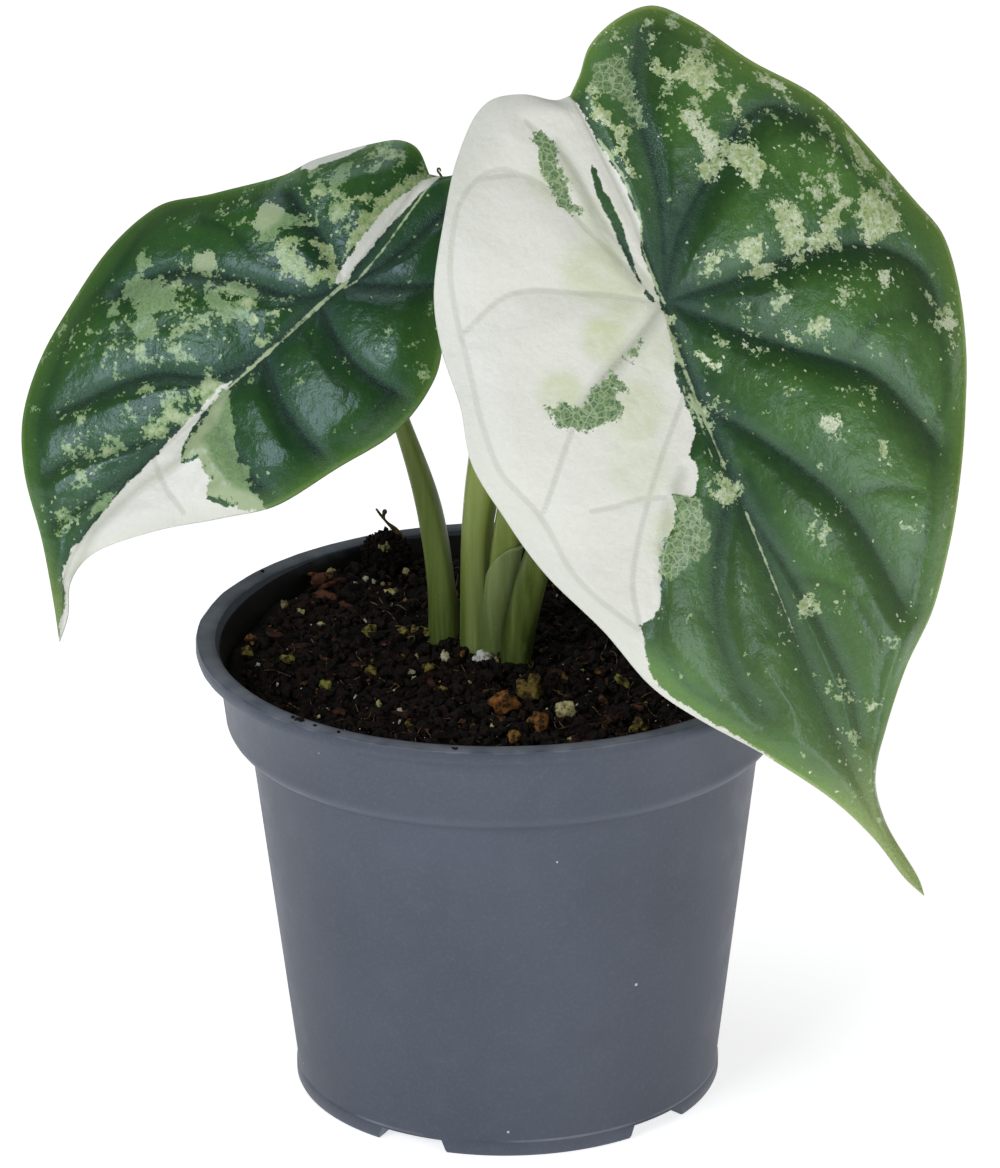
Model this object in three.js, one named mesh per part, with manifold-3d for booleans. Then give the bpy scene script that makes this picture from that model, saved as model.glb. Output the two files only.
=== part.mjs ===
// Potted variegated alocasia of the dragon scale kind.
// Two shield-shaped, quilted leaf blades hang on stalks beside a rolled young leaf and a side shoot.
// They stand in peat mix in a thin plastic nursery pot.
// Units are millimetres, +Z is up, -Y is the front, and the origin is the middle of the pot's base.

import * as THREE from 'three';
import { mergeVertices } from 'three/addons/utils/BufferGeometryUtils.js';
import Module from 'manifold-3d';

const wasm = await Module();
wasm.setup();

// Driving dimensions

const FIT_GAP = 0.3;

const POT = {
  height: 93,
  lipRadius: 60,
  lipHeight: 2.8,
  lipRound: 0.8,
  lipFlat: 2.6,
  lipFall: 1,
  collarTopRadius: 56.1,
  collarLowRadius: 54.5,
  shoulderTop: 77.5,
  shoulderHeight: 4.1,
  bodyTopRadius: 49.9,
  bodyLowRadius: 41.9,
  footRadius: 42.3,
  footHeight: 3.2,
  footStep: 0.5,
  wall: 1.2,
  floor: 4,
  sides: 50,
};

const DRAIN = {
  slots: 5,
  firstSlotAngle: -27,
  slotWidth: 13,
  slotHeight: 2.8,
  slotInnerRadius: 22,
  overrun: 2,
  holeRadius: 3,
  holeDistance: 34,
  holeSides: 16,
};

const SOIL = {
  level: 86.2,
  backRise: 2.2,
  centreRise: 0.8,
  centreSpread: 30,
  lump: 0.7,
  lumpRate: [0.41, 0.37],
  lumpPhase: 1.3,
  fineLumpShare: 0.6,
  fineLumpRate: [-0.62, 0.83],
  moundAt: [-30, 40],
  moundRise: 2.6,
  moundSpread: 13,
  edgeRadius: 53.9,
  rings: 8,
  sides: 36,
};

const GRAINS = {
  count: 44,
  seed: 20,
  smallest: 1.2,
  largest: 2.7,
  widths: [0.8, 1.3],
  depths: [0.7, 1],
  heights: [0.6, 0.9],
  sunk: 0.2,
  wallMargin: 4.5,
  stalkMargin: 0.8,
};

// A clod at the back left, with a dry root tip standing on it
const CLOD = { at: [-23.5, 44, 92.3], radii: [4.8, 4.2, 5.4] };
const TWIG = [
  [-22.5, 44, 96, 0.8],
  [-22.8, 44, 99, 0.75],
  [-24.8, 44, 100.3, 0.7],
  [-25.2, 44, 102, 0.6],
];
const TWIG_SIDES = 6;

// Stalks: each row is a point of the centre line and the radius there
const STALK_FOOT = 67;
const STALK_HOLE = { gap: 0.45, top: 103, sides: 20 };
const LEFT_STALK = [
  [-11.7, 12.7, STALK_FOOT, 3.2],
  [-11.7, 12.7, 87, 3.2],
  [-12.4, 13, 98.5, 2.7],
  [-14.7, 13.2, 114.4, 2.5],
  [-19.6, 12.8, 131.6, 1.75],
  [-25.3, 12.2, 148, 1.6],
  [-28.6, 10.6, 158, 1.55],
];
const FRONT_STALK = [
  [2.1, -0.8, STALK_FOOT, 3.1],
  [2.1, -0.8, 87, 3.1],
  [3.2, -1.8, 95, 3.05],
  [5.3, -3.5, 105, 3],
  [10.9, -7.5, 123.7, 2.5],
  [18.5, -12, 142.3, 2.1],
  [25.3, -14.6, 157, 1.9],
  [28.4, -16.2, 164, 1.8],
];
const YOUNG_STALK = [
  [-5.6, 6.8, STALK_FOOT, 3.1],
  [-5.6, 6.8, 87, 3.1],
  [-5.6, 6.8, 97, 3],
  [-5.4, 6.8, 109.7, 2.95],
  [-4.2, 7, 120.3, 3.4],
  [-2.6, 7, 132, 3.5],
];
const SHOOT = [
  [-2.1, 3.4, STALK_FOOT, 1.5],
  [-2.1, 3.4, 87, 1.5],
  [-0.8, 3, 100, 2.5],
  [0.6, 2.4, 111, 2.9],
  [2.3, 2, 120.5, 2.9],
  [4.6, 1.5, 128.5, 2],
  [6.8, 1, 136, 0.4],
];
const STALK_SIDES = 10;
const RINGS_PER_SPAN = 3;
const STALK_END_RADIUS = 1.5;

// The young stalk's sheath is a thin wing round the front of the shoot
const SHEATH = {
  thickness: 0.65,
  bottom: 84,
  notchHeight: 102,
  top: 111,
  joinAngle: 142,
  freeAngle: 350,
  slantShare: 0.7,
  rings: 6,
  arcSteps: 8,
};

// The rolled blade at the top of the young stalk, a scroll with one free edge
const ROLLED_LEAF = [
  [-2.6, 7, 132 + FIT_GAP, 3.4],
  [-1.6, 7.2, 142, 4.3],
  [0.2, 7.8, 156, 4.5],
  [2.4, 8.8, 172, 3.6],
  [4.6, 10, 188, 1.8],
  [5.4, 10.5, 194, 0.5],
];
const SCROLL = { overlap: 0.24, startAngle: 250, twist: 130, sides: 14, edgeShare: 0.995 };

// Leaf blades: outlines and veins in the blade's own plane, from the point where its stalk joins.
// The first number runs down the midrib to the tip, the second across it to the right.
const BLADE = {
  thickness: 0.9,
  edgeThickness: 0.65,
  edgeBevel: 3,
  ribHeight: 1.3,
  ribSpread: 1.7,
  ribSlimming: 0.7,
  quilt: 2.1,
  quiltSpread: 5,
  quiltFade: 9,
  edgeCurl: 1.1,
  curlWidth: 8,
  waveHeight: 0.8,
  waveFade: 20,
  wavePhase: 1.5,
};
const COLUMNS = [0, 0.05, 0.15, 0.27, 0.4, 0.54, 0.68, 0.81, 0.92, 1];

const FRONT_LEAF = {
  hub: [30.5, -24, 169.5],
  facing: 12,
  tilt: 28,
  roll: 24,
  rise: 0.1,
  fold: 0.0042,
  tipDroop: 0.0007,
  lobeDroop: 0.0012,
  waves: 5,
  rows: 36,
  midrib: [
    [-43, 5], [-29.5, 4], [-17, 3], [0, 0], [17.5, -3], [42, -6], [67, -9], [87.5, -11], [103.5, -12],
    [114, -11.5], [121.5, -10],
  ],
  rightEdge: [
    [-43, 5], [-45.5, 8.5], [-49.5, 13], [-51.5, 20.5], [-50.5, 28], [-44, 33.5], [-32, 39.5],
    [-20, 47.5], [-7.5, 52], [6.5, 55.5], [13.5, 57], [23, 55], [36, 49.5], [46, 43], [57, 34.5],
    [67, 26], [75.5, 17.5], [82.5, 7], [90.5, -2], [97.5, -8], [105.5, -9.5], [118.5, -9], [121.5, -10],
  ],
  leftEdge: [
    [-43, 5], [-43.5, 2], [-47.5, -3], [-49.5, -8.5], [-48.5, -12.5], [-42.5, -20.5], [-35.5, -27],
    [-23, -36.5], [-13, -40.5], [-2, -43], [8.5, -46.5], [20.5, -46], [34, -44.5], [48.5, -40.5],
    [61.5, -37.5], [71.5, -32.5], [85, -24], [97.5, -17], [107.5, -14], [117, -12.5], [121.5, -10],
  ],
  veins: [
    [[0, 0], [-7, 4], [-20, 10], [-37, 15], [-48, 23]],
    [[0, 0], [-10, 9], [-18, 21.5], [-23, 32], [-23, 37], [-19, 42.5]],
    [[0, 0], [2.5, 13.5], [5, 30.5], [10, 42.5], [19, 49], [26, 48]],
    [[0, 0], [7, 6], [20.5, 18.5], [31, 29], [42.5, 33], [48, 34]],
    [[11.5, -3], [20, -3], [31.5, 3.5], [50.5, 11.5], [71, 12.5]],
    [[40, -6], [59.5, -4], [80.5, -4.5], [89, -7]],
    [[0, 0], [-19.5, -2.5], [-32.5, -2.5], [-42.5, -5.5]],
    [[0, 0], [-17, -5.5], [-33, -10.5], [-37.5, -19]],
    [[0, 0], [-9, -13], [-15.5, -25], [-13.5, -36]],
    [[0, 0], [4, -9.5], [9.5, -23.5], [23, -39.5]],
    [[15, -3], [28, -18.5], [42.5, -31.5], [50.5, -34.5]],
    [[35, -5], [50, -18], [68, -23.5], [76.5, -21.5]],
  ],
};

const LEFT_LEAF = {
  hub: [-30.5, 4, 163.6],
  facing: -15,
  tilt: 36,
  roll: -43,
  rise: 0.12,
  fold: 0.006,
  tipDroop: 0.0016,
  lobeDroop: 0.0016,
  waves: 4,
  rows: 30,
  midrib: [
    [-26.5, -7], [-12.5, -3], [0, 0], [20, 0.5], [38, 0.5], [55, 0], [67, 1.5], [73, 3], [77, 5],
    [81.5, 9.5], [86, 13.5],
  ],
  rightEdge: [
    [-26.5, -7], [-30, -6], [-31, -2.5], [-29.5, 3], [-25, 9], [-17, 14.5], [-9, 20.5], [-2, 26],
    [9, 28.5], [22, 27], [36.5, 24.5], [46.5, 18.5], [59, 11], [71, 5.5], [77, 6.5], [81.5, 11], [86, 13.5],
  ],
  leftEdge: [
    [-26.5, -7], [-28, -12.5], [-26.5, -16], [-22.5, -19], [-11.5, -24.5], [-5, -26], [7.5, -33.5],
    [16, -40], [20.5, -41], [28, -40.5], [41, -37], [53, -33], [63, -26], [70.5, -16], [76.5, -3],
    [82, 7], [86, 13.5],
  ],
  veins: [
    [[0, 0], [-2.5, -8], [-3.5, -18], [-4, -22]],
    [[0, 0], [7, -3], [14.5, -14.5], [22.5, -25], [33.5, -30.5]],
    [[20, 0.5], [30, -3], [39, -12], [57.5, -20]],
    [[38, 0.5], [49.5, -3.5], [60, -10], [66, -12]],
    [[52.5, 0], [64, -2], [72.5, -4.5]],
    [[0, 0], [-6.5, 2], [-25.5, 1.5]],
    [[0, 0], [-9, 8.5], [-16, 14]],
    [[6, 0.5], [8, 13.5], [5, 26]],
    [[20.5, 0.5], [24, 13.5], [24, 25]],
    [[35, 0.5], [37, 15], [36.5, 23]],
    [[49, 0], [51, 6.5], [51.5, 13]],
  ],
};

// Colours and finishes

const MATERIALS = {
  pot: new THREE.MeshStandardMaterial({ color: 0x565a63, roughness: 0.5, metalness: 0 }),
  soil: new THREE.MeshStandardMaterial({ color: 0x2a1d15, roughness: 0.95, metalness: 0 }),
  stalk: new THREE.MeshStandardMaterial({ color: 0x6a7f3c, roughness: 0.45, metalness: 0 }),
  youngLeaf: new THREE.MeshStandardMaterial({ color: 0x9db27a, roughness: 0.45, metalness: 0 }),
  blade: new THREE.MeshStandardMaterial({ color: 0x3a6428, roughness: 0.4, metalness: 0 }),
  paleBlade: new THREE.MeshStandardMaterial({ color: 0x8fa382, roughness: 0.4, metalness: 0 }),
};

// Small helpers

const radians = THREE.MathUtils.degToRad;
const mix = THREE.MathUtils.lerp;

function seededRandom(seed) {
  const modulus = 4294967296;
  let state = seed;
  return () => {
    state = (state * 1664525 + 1013904223) % modulus;
    return state / modulus;
  };
}

function easeIn(value) {
  const x = THREE.MathUtils.clamp(value, 0, 1);
  return x * x * (3 - 2 * x);
}

// Welds a geometry's corners and leaves out the triangles that this closes up
function weld(geometry) {
  const bare = geometry.clone();
  bare.deleteAttribute('normal');
  bare.deleteAttribute('uv');
  const welded = mergeVertices(bare);
  const corners = welded.index.array;
  const kept = [];
  for (let i = 0; i < corners.length; i += 3) {
    const [a, b, c] = corners.slice(i, i + 3);
    if (a !== b && b !== c && c !== a) {
      kept.push(a, b, c);
    }
  }
  welded.setIndex(kept);
  welded.computeVertexNormals();
  return welded;
}

function toSolid(geometry) {
  const welded = weld(geometry);
  const vertProperties = new Float32Array(welded.attributes.position.array);
  const triVerts = new Uint32Array(welded.index.array);
  return new wasm.Manifold(new wasm.Mesh({ numProp: 3, vertProperties, triVerts }));
}

function toGeometry(solid) {
  const { vertProperties, triVerts } = solid.getMesh();
  const geometry = new THREE.BufferGeometry();
  geometry.setAttribute('position', new THREE.BufferAttribute(vertProperties, 3));
  geometry.setIndex(new THREE.BufferAttribute(triVerts, 1));
  geometry.computeVertexNormals();
  return geometry;
}

// Collects flat faces and turns them into one closed geometry
class FaceList {
  constructor() {
    this.positions = [];
  }

  triangle(a, b, c) {
    this.positions.push(...a.toArray(), ...b.toArray(), ...c.toArray());
  }

  quad(a, b, c, d) {
    this.triangle(a, b, c);
    this.triangle(a, c, d);
  }

  geometry() {
    const geometry = new THREE.BufferGeometry();
    geometry.setAttribute('position', new THREE.Float32BufferAttribute(this.positions, 3));
    return weld(geometry);
  }
}

// A curve through rows of [x, y, z, radius], which also gives the radius along it
class TaperedPath {
  constructor(rows) {
    this.spans = rows.length - 1;
    this.radii = rows.map((row) => row[3]);
    const points = rows.map(([x, y, z]) => new THREE.Vector3(x, y, z));
    this.curve = new THREE.CatmullRomCurve3(points, false, 'centripetal');
  }

  pointAt(t) {
    return this.curve.getPoint(t);
  }

  radiusAt(t) {
    const span = Math.min(Math.floor(t * this.spans), this.spans - 1);
    return mix(this.radii[span], this.radii[span + 1], t * this.spans - span);
  }

  // Places a flat outline, counterclockwise seen from the path's end, square to the path at t
  ring(t, outline) {
    const centre = this.pointAt(t);
    const along = this.curve.getTangent(t);
    const across = new THREE.Vector3(1, 0, 0).addScaledVector(along, -along.x).normalize();
    const deep = new THREE.Vector3().crossVectors(along, across);
    return outline.map(({ x, y }) => centre.clone().addScaledVector(across, x).addScaledVector(deep, y));
  }
}

// Skins a row of rings and closes both ends
function loft(rings, outline) {
  const faces = new FaceList();
  const sides = outline.length;
  for (let i = 0; i + 1 < rings.length; i += 1) {
    for (let j = 0; j < sides; j += 1) {
      const next = (j + 1) % sides;
      faces.quad(rings[i][j], rings[i][next], rings[i + 1][next], rings[i + 1][j]);
    }
  }
  const first = rings[0];
  const last = rings[rings.length - 1];
  for (const [a, b, c] of THREE.ShapeUtils.triangulateShape(outline, [])) {
    faces.triangle(first[a], first[c], first[b]);
    faces.triangle(last[a], last[b], last[c]);
  }
  return faces.geometry();
}

function circle(radius, sides) {
  const outline = [];
  for (let i = 0; i < sides; i += 1) {
    const angle = (2 * Math.PI * i) / sides;
    outline.push(new THREE.Vector2(radius * Math.cos(angle), radius * Math.sin(angle)));
  }
  return outline;
}

function stalkGeometry(rows, sides = STALK_SIDES) {
  const path = new TaperedPath(rows);
  const steps = path.spans * RINGS_PER_SPAN;
  const rings = [];
  for (let i = 0; i <= steps; i += 1) {
    const t = i / steps;
    rings.push(path.ring(t, circle(path.radiusAt(t), sides)));
  }
  return loft(rings, circle(1, sides));
}

// Pot

function shoulderArc(innerOffset, lift) {
  const arc = [];
  for (const degrees of [0, 30, 60, 90]) {
    const angle = radians(degrees);
    const radius = mix(POT.bodyTopRadius, POT.collarLowRadius, Math.sin(angle)) - innerOffset;
    const height = POT.shoulderTop + lift - (POT.shoulderHeight - innerOffset) * Math.cos(angle);
    arc.push([radius, height]);
  }
  return arc;
}

function potProfile() {
  const lipBottom = POT.height - POT.lipHeight;
  const innerTop = POT.collarTopRadius - POT.wall;
  const outside = [
    [0, 0],
    [POT.footRadius, 0],
    [POT.footRadius, POT.footHeight],
    [POT.bodyLowRadius, POT.footHeight + POT.footStep],
    ...shoulderArc(0, 0),
    [POT.collarTopRadius, lipBottom],
  ];
  const lip = [
    [POT.lipRadius - POT.lipRound, lipBottom],
    [POT.lipRadius, lipBottom + POT.lipRound],
    [POT.lipRadius, POT.height - POT.lipRound],
    [POT.lipRadius - POT.lipRound, POT.height],
    [POT.lipRadius - POT.lipFlat, POT.height],
    [innerTop + POT.lipFall, POT.height - POT.lipFall],
  ];
  const inside = [
    [innerTop, lipBottom],
    ...shoulderArc(POT.wall, FIT_GAP).reverse(),
    [POT.bodyLowRadius - POT.wall, POT.floor],
    [0, POT.floor],
  ];
  return [...outside, ...lip, ...inside].map(([radius, height]) => new THREE.Vector2(radius, height));
}

// A cutter at the given angle from the front, turned about the pot's axis
function atAngle(geometry, degrees) {
  return toSolid(geometry.rotateZ(radians(degrees)));
}

function potGeometry() {
  const shell = new THREE.LatheGeometry(potProfile(), POT.sides);
  let pot = toSolid(shell.rotateX(Math.PI / 2));
  const { slotWidth, slotHeight, holeRadius } = DRAIN;
  const channelEnd = POT.footRadius + DRAIN.overrun;
  const channelLength = channelEnd - DRAIN.slotInnerRadius;
  const channelHeight = slotHeight + DRAIN.overrun;
  for (let i = 0; i < DRAIN.slots; i += 1) {
    const angle = DRAIN.firstSlotAngle + (360 * i) / DRAIN.slots;
    const channel = new THREE.BoxGeometry(slotWidth, channelLength, channelHeight);
    channel.translate(0, -(channelEnd - channelLength / 2), slotHeight - channelHeight / 2);
    const hole = new THREE.CylinderGeometry(holeRadius, holeRadius, 2 * POT.floor, DRAIN.holeSides);
    hole.rotateX(Math.PI / 2).translate(0, -DRAIN.holeDistance, POT.floor);
    pot = pot.subtract(atAngle(channel, angle)).subtract(atAngle(hole, angle));
  }
  return toGeometry(pot);
}

// Soil

function soilHeight(x, y) {
  const back = SOIL.backRise * easeIn(y / SOIL.edgeRadius);
  const centre = SOIL.centreRise * Math.exp(-(x * x + y * y) / SOIL.centreSpread ** 2);
  const [moundX, moundY] = SOIL.moundAt;
  const fromMound = Math.hypot(x - moundX, y - moundY);
  const mound = SOIL.moundRise * Math.exp(-((fromMound / SOIL.moundSpread) ** 2));
  const [rateX, rateY] = SOIL.lumpRate;
  const [fineX, fineY] = SOIL.fineLumpRate;
  const coarse = Math.sin(rateX * x + SOIL.lumpPhase) * Math.cos(rateY * y);
  const fine = SOIL.fineLumpShare * Math.sin(fineX * x + fineY * y);
  return SOIL.level + back + centre + mound + SOIL.lump * (coarse + fine);
}

function soilBody() {
  const side = [
    [0, POT.floor + FIT_GAP],
    [POT.bodyLowRadius - POT.wall - FIT_GAP, POT.floor + FIT_GAP],
    ...shoulderArc(POT.wall + FIT_GAP, 2 * FIT_GAP),
  ];
  const top = [];
  for (let ring = 0; ring <= SOIL.rings; ring += 1) {
    top.push([SOIL.edgeRadius * (1 - ring / SOIL.rings), SOIL.level]);
  }
  const profile = [...side, ...top].map(([radius, height]) => new THREE.Vector2(radius, height));
  const body = new THREE.LatheGeometry(profile, SOIL.sides).rotateX(Math.PI / 2);
  const place = body.attributes.position;
  const rounding = 0.01;
  for (let i = 0; i < place.count; i += 1) {
    if (Math.abs(place.getZ(i) - SOIL.level) < rounding) {
      place.setZ(i, soilHeight(place.getX(i), place.getY(i)));
    }
  }
  return toSolid(body);
}

function clearOfStalks(x, y, radius) {
  return [LEFT_STALK, FRONT_STALK, YOUNG_STALK, SHOOT].every(([[stalkX, stalkY, , stalkRadius]]) => {
    const reach = stalkRadius + SHEATH.thickness + STALK_HOLE.gap + GRAINS.stalkMargin;
    return Math.hypot(x - stalkX, y - stalkY) > reach + radius;
  });
}

// Pumice, bark and perlite grains, thrown evenly over the surface and well sunk in
function scatteredGrains() {
  const random = seededRandom(GRAINS.seed);
  const grains = [];
  while (grains.length < GRAINS.count) {
    const radius = mix(GRAINS.smallest, GRAINS.largest, random() ** 2);
    const distance = (SOIL.edgeRadius - GRAINS.wallMargin) * Math.sqrt(random());
    const angle = 2 * Math.PI * random();
    const x = distance * Math.cos(angle);
    const y = distance * Math.sin(angle);
    const grain = new THREE.IcosahedronGeometry(radius, 0);
    grain.scale(...[GRAINS.widths, GRAINS.depths, GRAINS.heights].map((range) => mix(...range, random())));
    grain.rotateX(Math.PI * random()).rotateZ(2 * Math.PI * random());
    grain.translate(x, y, soilHeight(x, y) - GRAINS.sunk * radius);
    if (clearOfStalks(x, y, radius)) {
      grains.push(toSolid(grain));
    }
  }
  return grains;
}

function clodWithTwig() {
  const clod = new THREE.IcosahedronGeometry(1, 1);
  clod.scale(...CLOD.radii).translate(...CLOD.at);
  return toSolid(clod).add(toSolid(stalkGeometry(TWIG, TWIG_SIDES)));
}

// Plain round holes that the stalks stand in
function stalkHoles() {
  const { gap, top, sides } = STALK_HOLE;
  const bottom = STALK_FOOT - FIT_GAP;
  return [LEFT_STALK, FRONT_STALK, YOUNG_STALK, SHOOT].map((rows) => {
    const [x, y, , stalkRadius] = rows[0];
    const sleeve = rows === SHOOT ? FIT_GAP + SHEATH.thickness : 0;
    const radius = stalkRadius + sleeve + gap;
    const hole = new THREE.CylinderGeometry(radius, radius, top - bottom, sides);
    return toSolid(hole.rotateX(Math.PI / 2).translate(x, y, (top + bottom) / 2));
  });
}

function soilGeometry() {
  let soil = soilBody();
  for (const grain of scatteredGrains()) {
    soil = soil.add(grain);
  }
  soil = soil.add(clodWithTwig());
  for (const hole of stalkHoles()) {
    soil = soil.subtract(hole);
  }
  return toGeometry(soil);
}

// Stalks

// Which way a blade faces, square to its plane
function faceDirection(leaf) {
  const face = new THREE.Vector3(0, 0, 1);
  face.applyAxisAngle(new THREE.Vector3(1, 0, 0), radians(90 - leaf.tilt));
  return face.applyAxisAngle(new THREE.Vector3(0, 0, 1), radians(leaf.facing));
}

// A stalk whose end turns to meet its blade's rib squarely from below
function leafStalk(rows, leaf) {
  const depth = BLADE.thickness + BLADE.ribHeight + FIT_GAP;
  const end = new THREE.Vector3(...leaf.hub).addScaledVector(faceDirection(leaf), -depth);
  return stalkGeometry([...rows, [...end.toArray(), STALK_END_RADIUS]]);
}

// Where along an upright path its centre line reaches a height
function parameterAtHeight(path, height) {
  const halvings = 30;
  let low = 0;
  let high = 1;
  for (let i = 0; i < halvings; i += 1) {
    const middle = (low + high) / 2;
    if (path.pointAt(middle).z < height) {
      low = middle;
    } else {
      high = middle;
    }
  }
  return low;
}

// One crescent-shaped ring of the sheath; its top edge slants up from the notch to the free side
function sheathRing(path, rise) {
  const ring = [];
  const addArc = (step, extra) => {
    const share = step / SHEATH.arcSteps;
    const edge = mix(SHEATH.notchHeight, SHEATH.top, easeIn(share / SHEATH.slantShare));
    const t = parameterAtHeight(path, mix(SHEATH.bottom, edge, rise));
    const reach = path.radiusAt(t) + FIT_GAP + extra;
    const angle = radians(mix(SHEATH.joinAngle, SHEATH.freeAngle, share));
    const spot = new THREE.Vector2(reach * Math.cos(angle), reach * Math.sin(angle));
    ring.push(...path.ring(t, [spot]));
  };
  for (let i = 0; i <= SHEATH.arcSteps; i += 1) {
    addArc(i, SHEATH.thickness);
  }
  for (let i = SHEATH.arcSteps; i >= 0; i -= 1) {
    addArc(i, 0);
  }
  return ring;
}

function sheathGeometry() {
  const path = new TaperedPath(SHOOT);
  const rings = [];
  for (let i = 0; i <= SHEATH.rings; i += 1) {
    rings.push(sheathRing(path, i / SHEATH.rings));
  }
  const outline = rings[0].map(({ x, y }) => new THREE.Vector2(x, y));
  return loft(rings, outline);
}

function youngStalkGeometry() {
  const stalk = toSolid(stalkGeometry(YOUNG_STALK));
  return toGeometry(stalk.add(toSolid(sheathGeometry())));
}

function scrollOutline(radius, turn) {
  const outline = [];
  for (let i = 0; i <= SCROLL.sides; i += 1) {
    const share = i / SCROLL.sides;
    const angle = 2 * Math.PI * Math.min(share, SCROLL.edgeShare) + radians(turn);
    const reach = radius * (1 - SCROLL.overlap / 2 + SCROLL.overlap * share);
    outline.push(new THREE.Vector2(reach * Math.cos(angle), reach * Math.sin(angle)));
  }
  return outline;
}

function rolledLeafGeometry() {
  const path = new TaperedPath(ROLLED_LEAF);
  const steps = path.spans * RINGS_PER_SPAN;
  const rings = [];
  for (let i = 0; i <= steps; i += 1) {
    const t = i / steps;
    rings.push(path.ring(t, scrollOutline(path.radiusAt(t), SCROLL.startAngle + SCROLL.twist * t)));
  }
  return loft(rings, scrollOutline(1, SCROLL.startAngle));
}

// Leaf blades

function flatCurve(points) {
  const knots = points.map(([u, v]) => new THREE.Vector3(u, v, 0));
  return new THREE.CatmullRomCurve3(knots, false, 'centripetal');
}

function midribAcross(leaf, u) {
  const points = leaf.midrib;
  for (let i = 0; i + 1 < points.length; i += 1) {
    if (u < points[i + 1][0]) {
      const share = (u - points[i][0]) / (points[i + 1][0] - points[i][0]);
      return mix(points[i][1], points[i + 1][1], Math.max(share, 0));
    }
  }
  return points[points.length - 1][1];
}

function distanceToSegment(point, [startU, startV], [endU, endV]) {
  const du = endU - startU;
  const dv = endV - startV;
  const reach = ((point.x - startU) * du + (point.y - startV) * dv) / (du * du + dv * dv);
  const share = THREE.MathUtils.clamp(reach, 0, 1);
  return Math.hypot(point.x - startU - share * du, point.y - startV - share * dv);
}

function distanceToVeins(leaf, point) {
  let nearest = Infinity;
  for (const line of leaf.veins) {
    for (let i = 0; i + 1 < line.length; i += 1) {
      nearest = Math.min(nearest, distanceToSegment(point, line[i], line[i + 1]));
    }
  }
  return nearest;
}

// Height of the upper face over the leaf plane.
// The halves rise from the midrib and fold back, the skin pillows up between sunken veins,
// and the margin curls back.
function upperHeight(leaf, point, fromRoot, fromEdge) {
  const across = Math.abs(point.y - midribAcross(leaf, point.x));
  const droop = point.x > 0 ? leaf.tipDroop : leaf.lobeDroop;
  const bend = leaf.rise * across - leaf.fold * across ** 2 - droop * point.x ** 2;
  const fromVein = Math.min(fromRoot, distanceToVeins(leaf, point));
  const pillow = BLADE.quilt * (1 - Math.exp(-fromVein / BLADE.quiltSpread));
  const curl = BLADE.edgeCurl * Math.max(0, 1 - fromEdge / BLADE.curlWidth) ** 2;
  return bend + pillow * easeIn(fromEdge / BLADE.quiltFade) - curl;
}

function thicknessAt(leaf, point, fromEdge) {
  const across = point.y - midribAcross(leaf, point.x);
  const leafEnd = leaf.midrib[leaf.midrib.length - 1][0];
  const slimming = 1 - BLADE.ribSlimming * Math.abs(point.x / leafEnd);
  const rib = BLADE.ribHeight * slimming * Math.exp(-((across / BLADE.ribSpread) ** 2));
  return mix(BLADE.edgeThickness, BLADE.thickness + rib, easeIn(fromEdge / BLADE.edgeBevel));
}

// The upper and lower point at a share of the way from the midrib to the edge
function skinPair(leaf, root, rim, share, swing) {
  const width = root.distanceTo(rim);
  const fromEdge = width * (1 - share);
  const above = root.clone().lerp(rim, share);
  above.z = upperHeight(leaf, above, width * share, fromEdge) + BLADE.waveHeight * swing * share ** 3;
  const below = above.clone();
  below.z -= thicknessAt(leaf, above, fromEdge);
  return { above, below };
}

// Rows that run from the shared midrib point out to the edge on the right and on the left
function bladeRows(leaf) {
  const midrib = flatCurve(leaf.midrib);
  const margins = [flatCurve(leaf.rightEdge), flatCurve(leaf.leftEdge)];
  const rows = [];
  for (let i = 0; i <= leaf.rows; i += 1) {
    const t = i / leaf.rows;
    const atEnd = i === 0 || i === leaf.rows;
    const root = midrib.getPointAt(t);
    const rims = margins.map((margin) => (atEnd ? root.clone() : margin.getPointAt(t)));
    const nearRim = root.distanceTo(rims[0]) < root.distanceTo(rims[1]) ? rims[0] : rims[1];
    const shared = skinPair(leaf, root, nearRim, 0, 0);
    rows.push(rims.map((rim, side) => {
      const fade = easeIn(root.distanceTo(rim) / BLADE.waveFade);
      const swing = fade * Math.sin(2 * Math.PI * leaf.waves * t + BLADE.wavePhase * side);
      return [shared, ...COLUMNS.slice(1).map((share) => skinPair(leaf, root, rim, share, swing))];
    }));
  }
  return rows;
}

function bladeGeometry(leaf) {
  const faces = new FaceList();
  const rows = bladeRows(leaf);
  const last = COLUMNS.length - 1;
  for (let i = 0; i < leaf.rows; i += 1) {
    for (const side of [0, 1]) {
      const row = rows[i][side];
      const next = rows[i + 1][side];
      const addQuad = (a, b, c, d) => (side === 0 ? faces.quad(a, b, c, d) : faces.quad(a, d, c, b));
      for (let j = 0; j < last; j += 1) {
        addQuad(row[j].above, next[j].above, next[j + 1].above, row[j + 1].above);
        addQuad(row[j].below, row[j + 1].below, next[j + 1].below, next[j].below);
      }
      addQuad(row[last].above, next[last].above, next[last].below, row[last].below);
    }
  }
  return faces.geometry();
}

// Puts a blade in its plane: turned to face its way, leant back, and rolled on its own face
function hungBlade(name, leaf, material) {
  const blade = new THREE.Mesh(bladeGeometry(leaf), material);
  blade.name = name;
  blade.rotation.z = radians(leaf.roll - 90);
  const leaning = new THREE.Group();
  leaning.rotation.x = radians(90 - leaf.tilt);
  leaning.add(blade);
  const facing = new THREE.Group();
  facing.position.set(...leaf.hub);
  facing.rotation.z = radians(leaf.facing);
  facing.add(leaning);
  return facing;
}

// The whole plant

function piece(name, geometry, material) {
  const mesh = new THREE.Mesh(geometry, material);
  mesh.name = name;
  return mesh;
}

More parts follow.
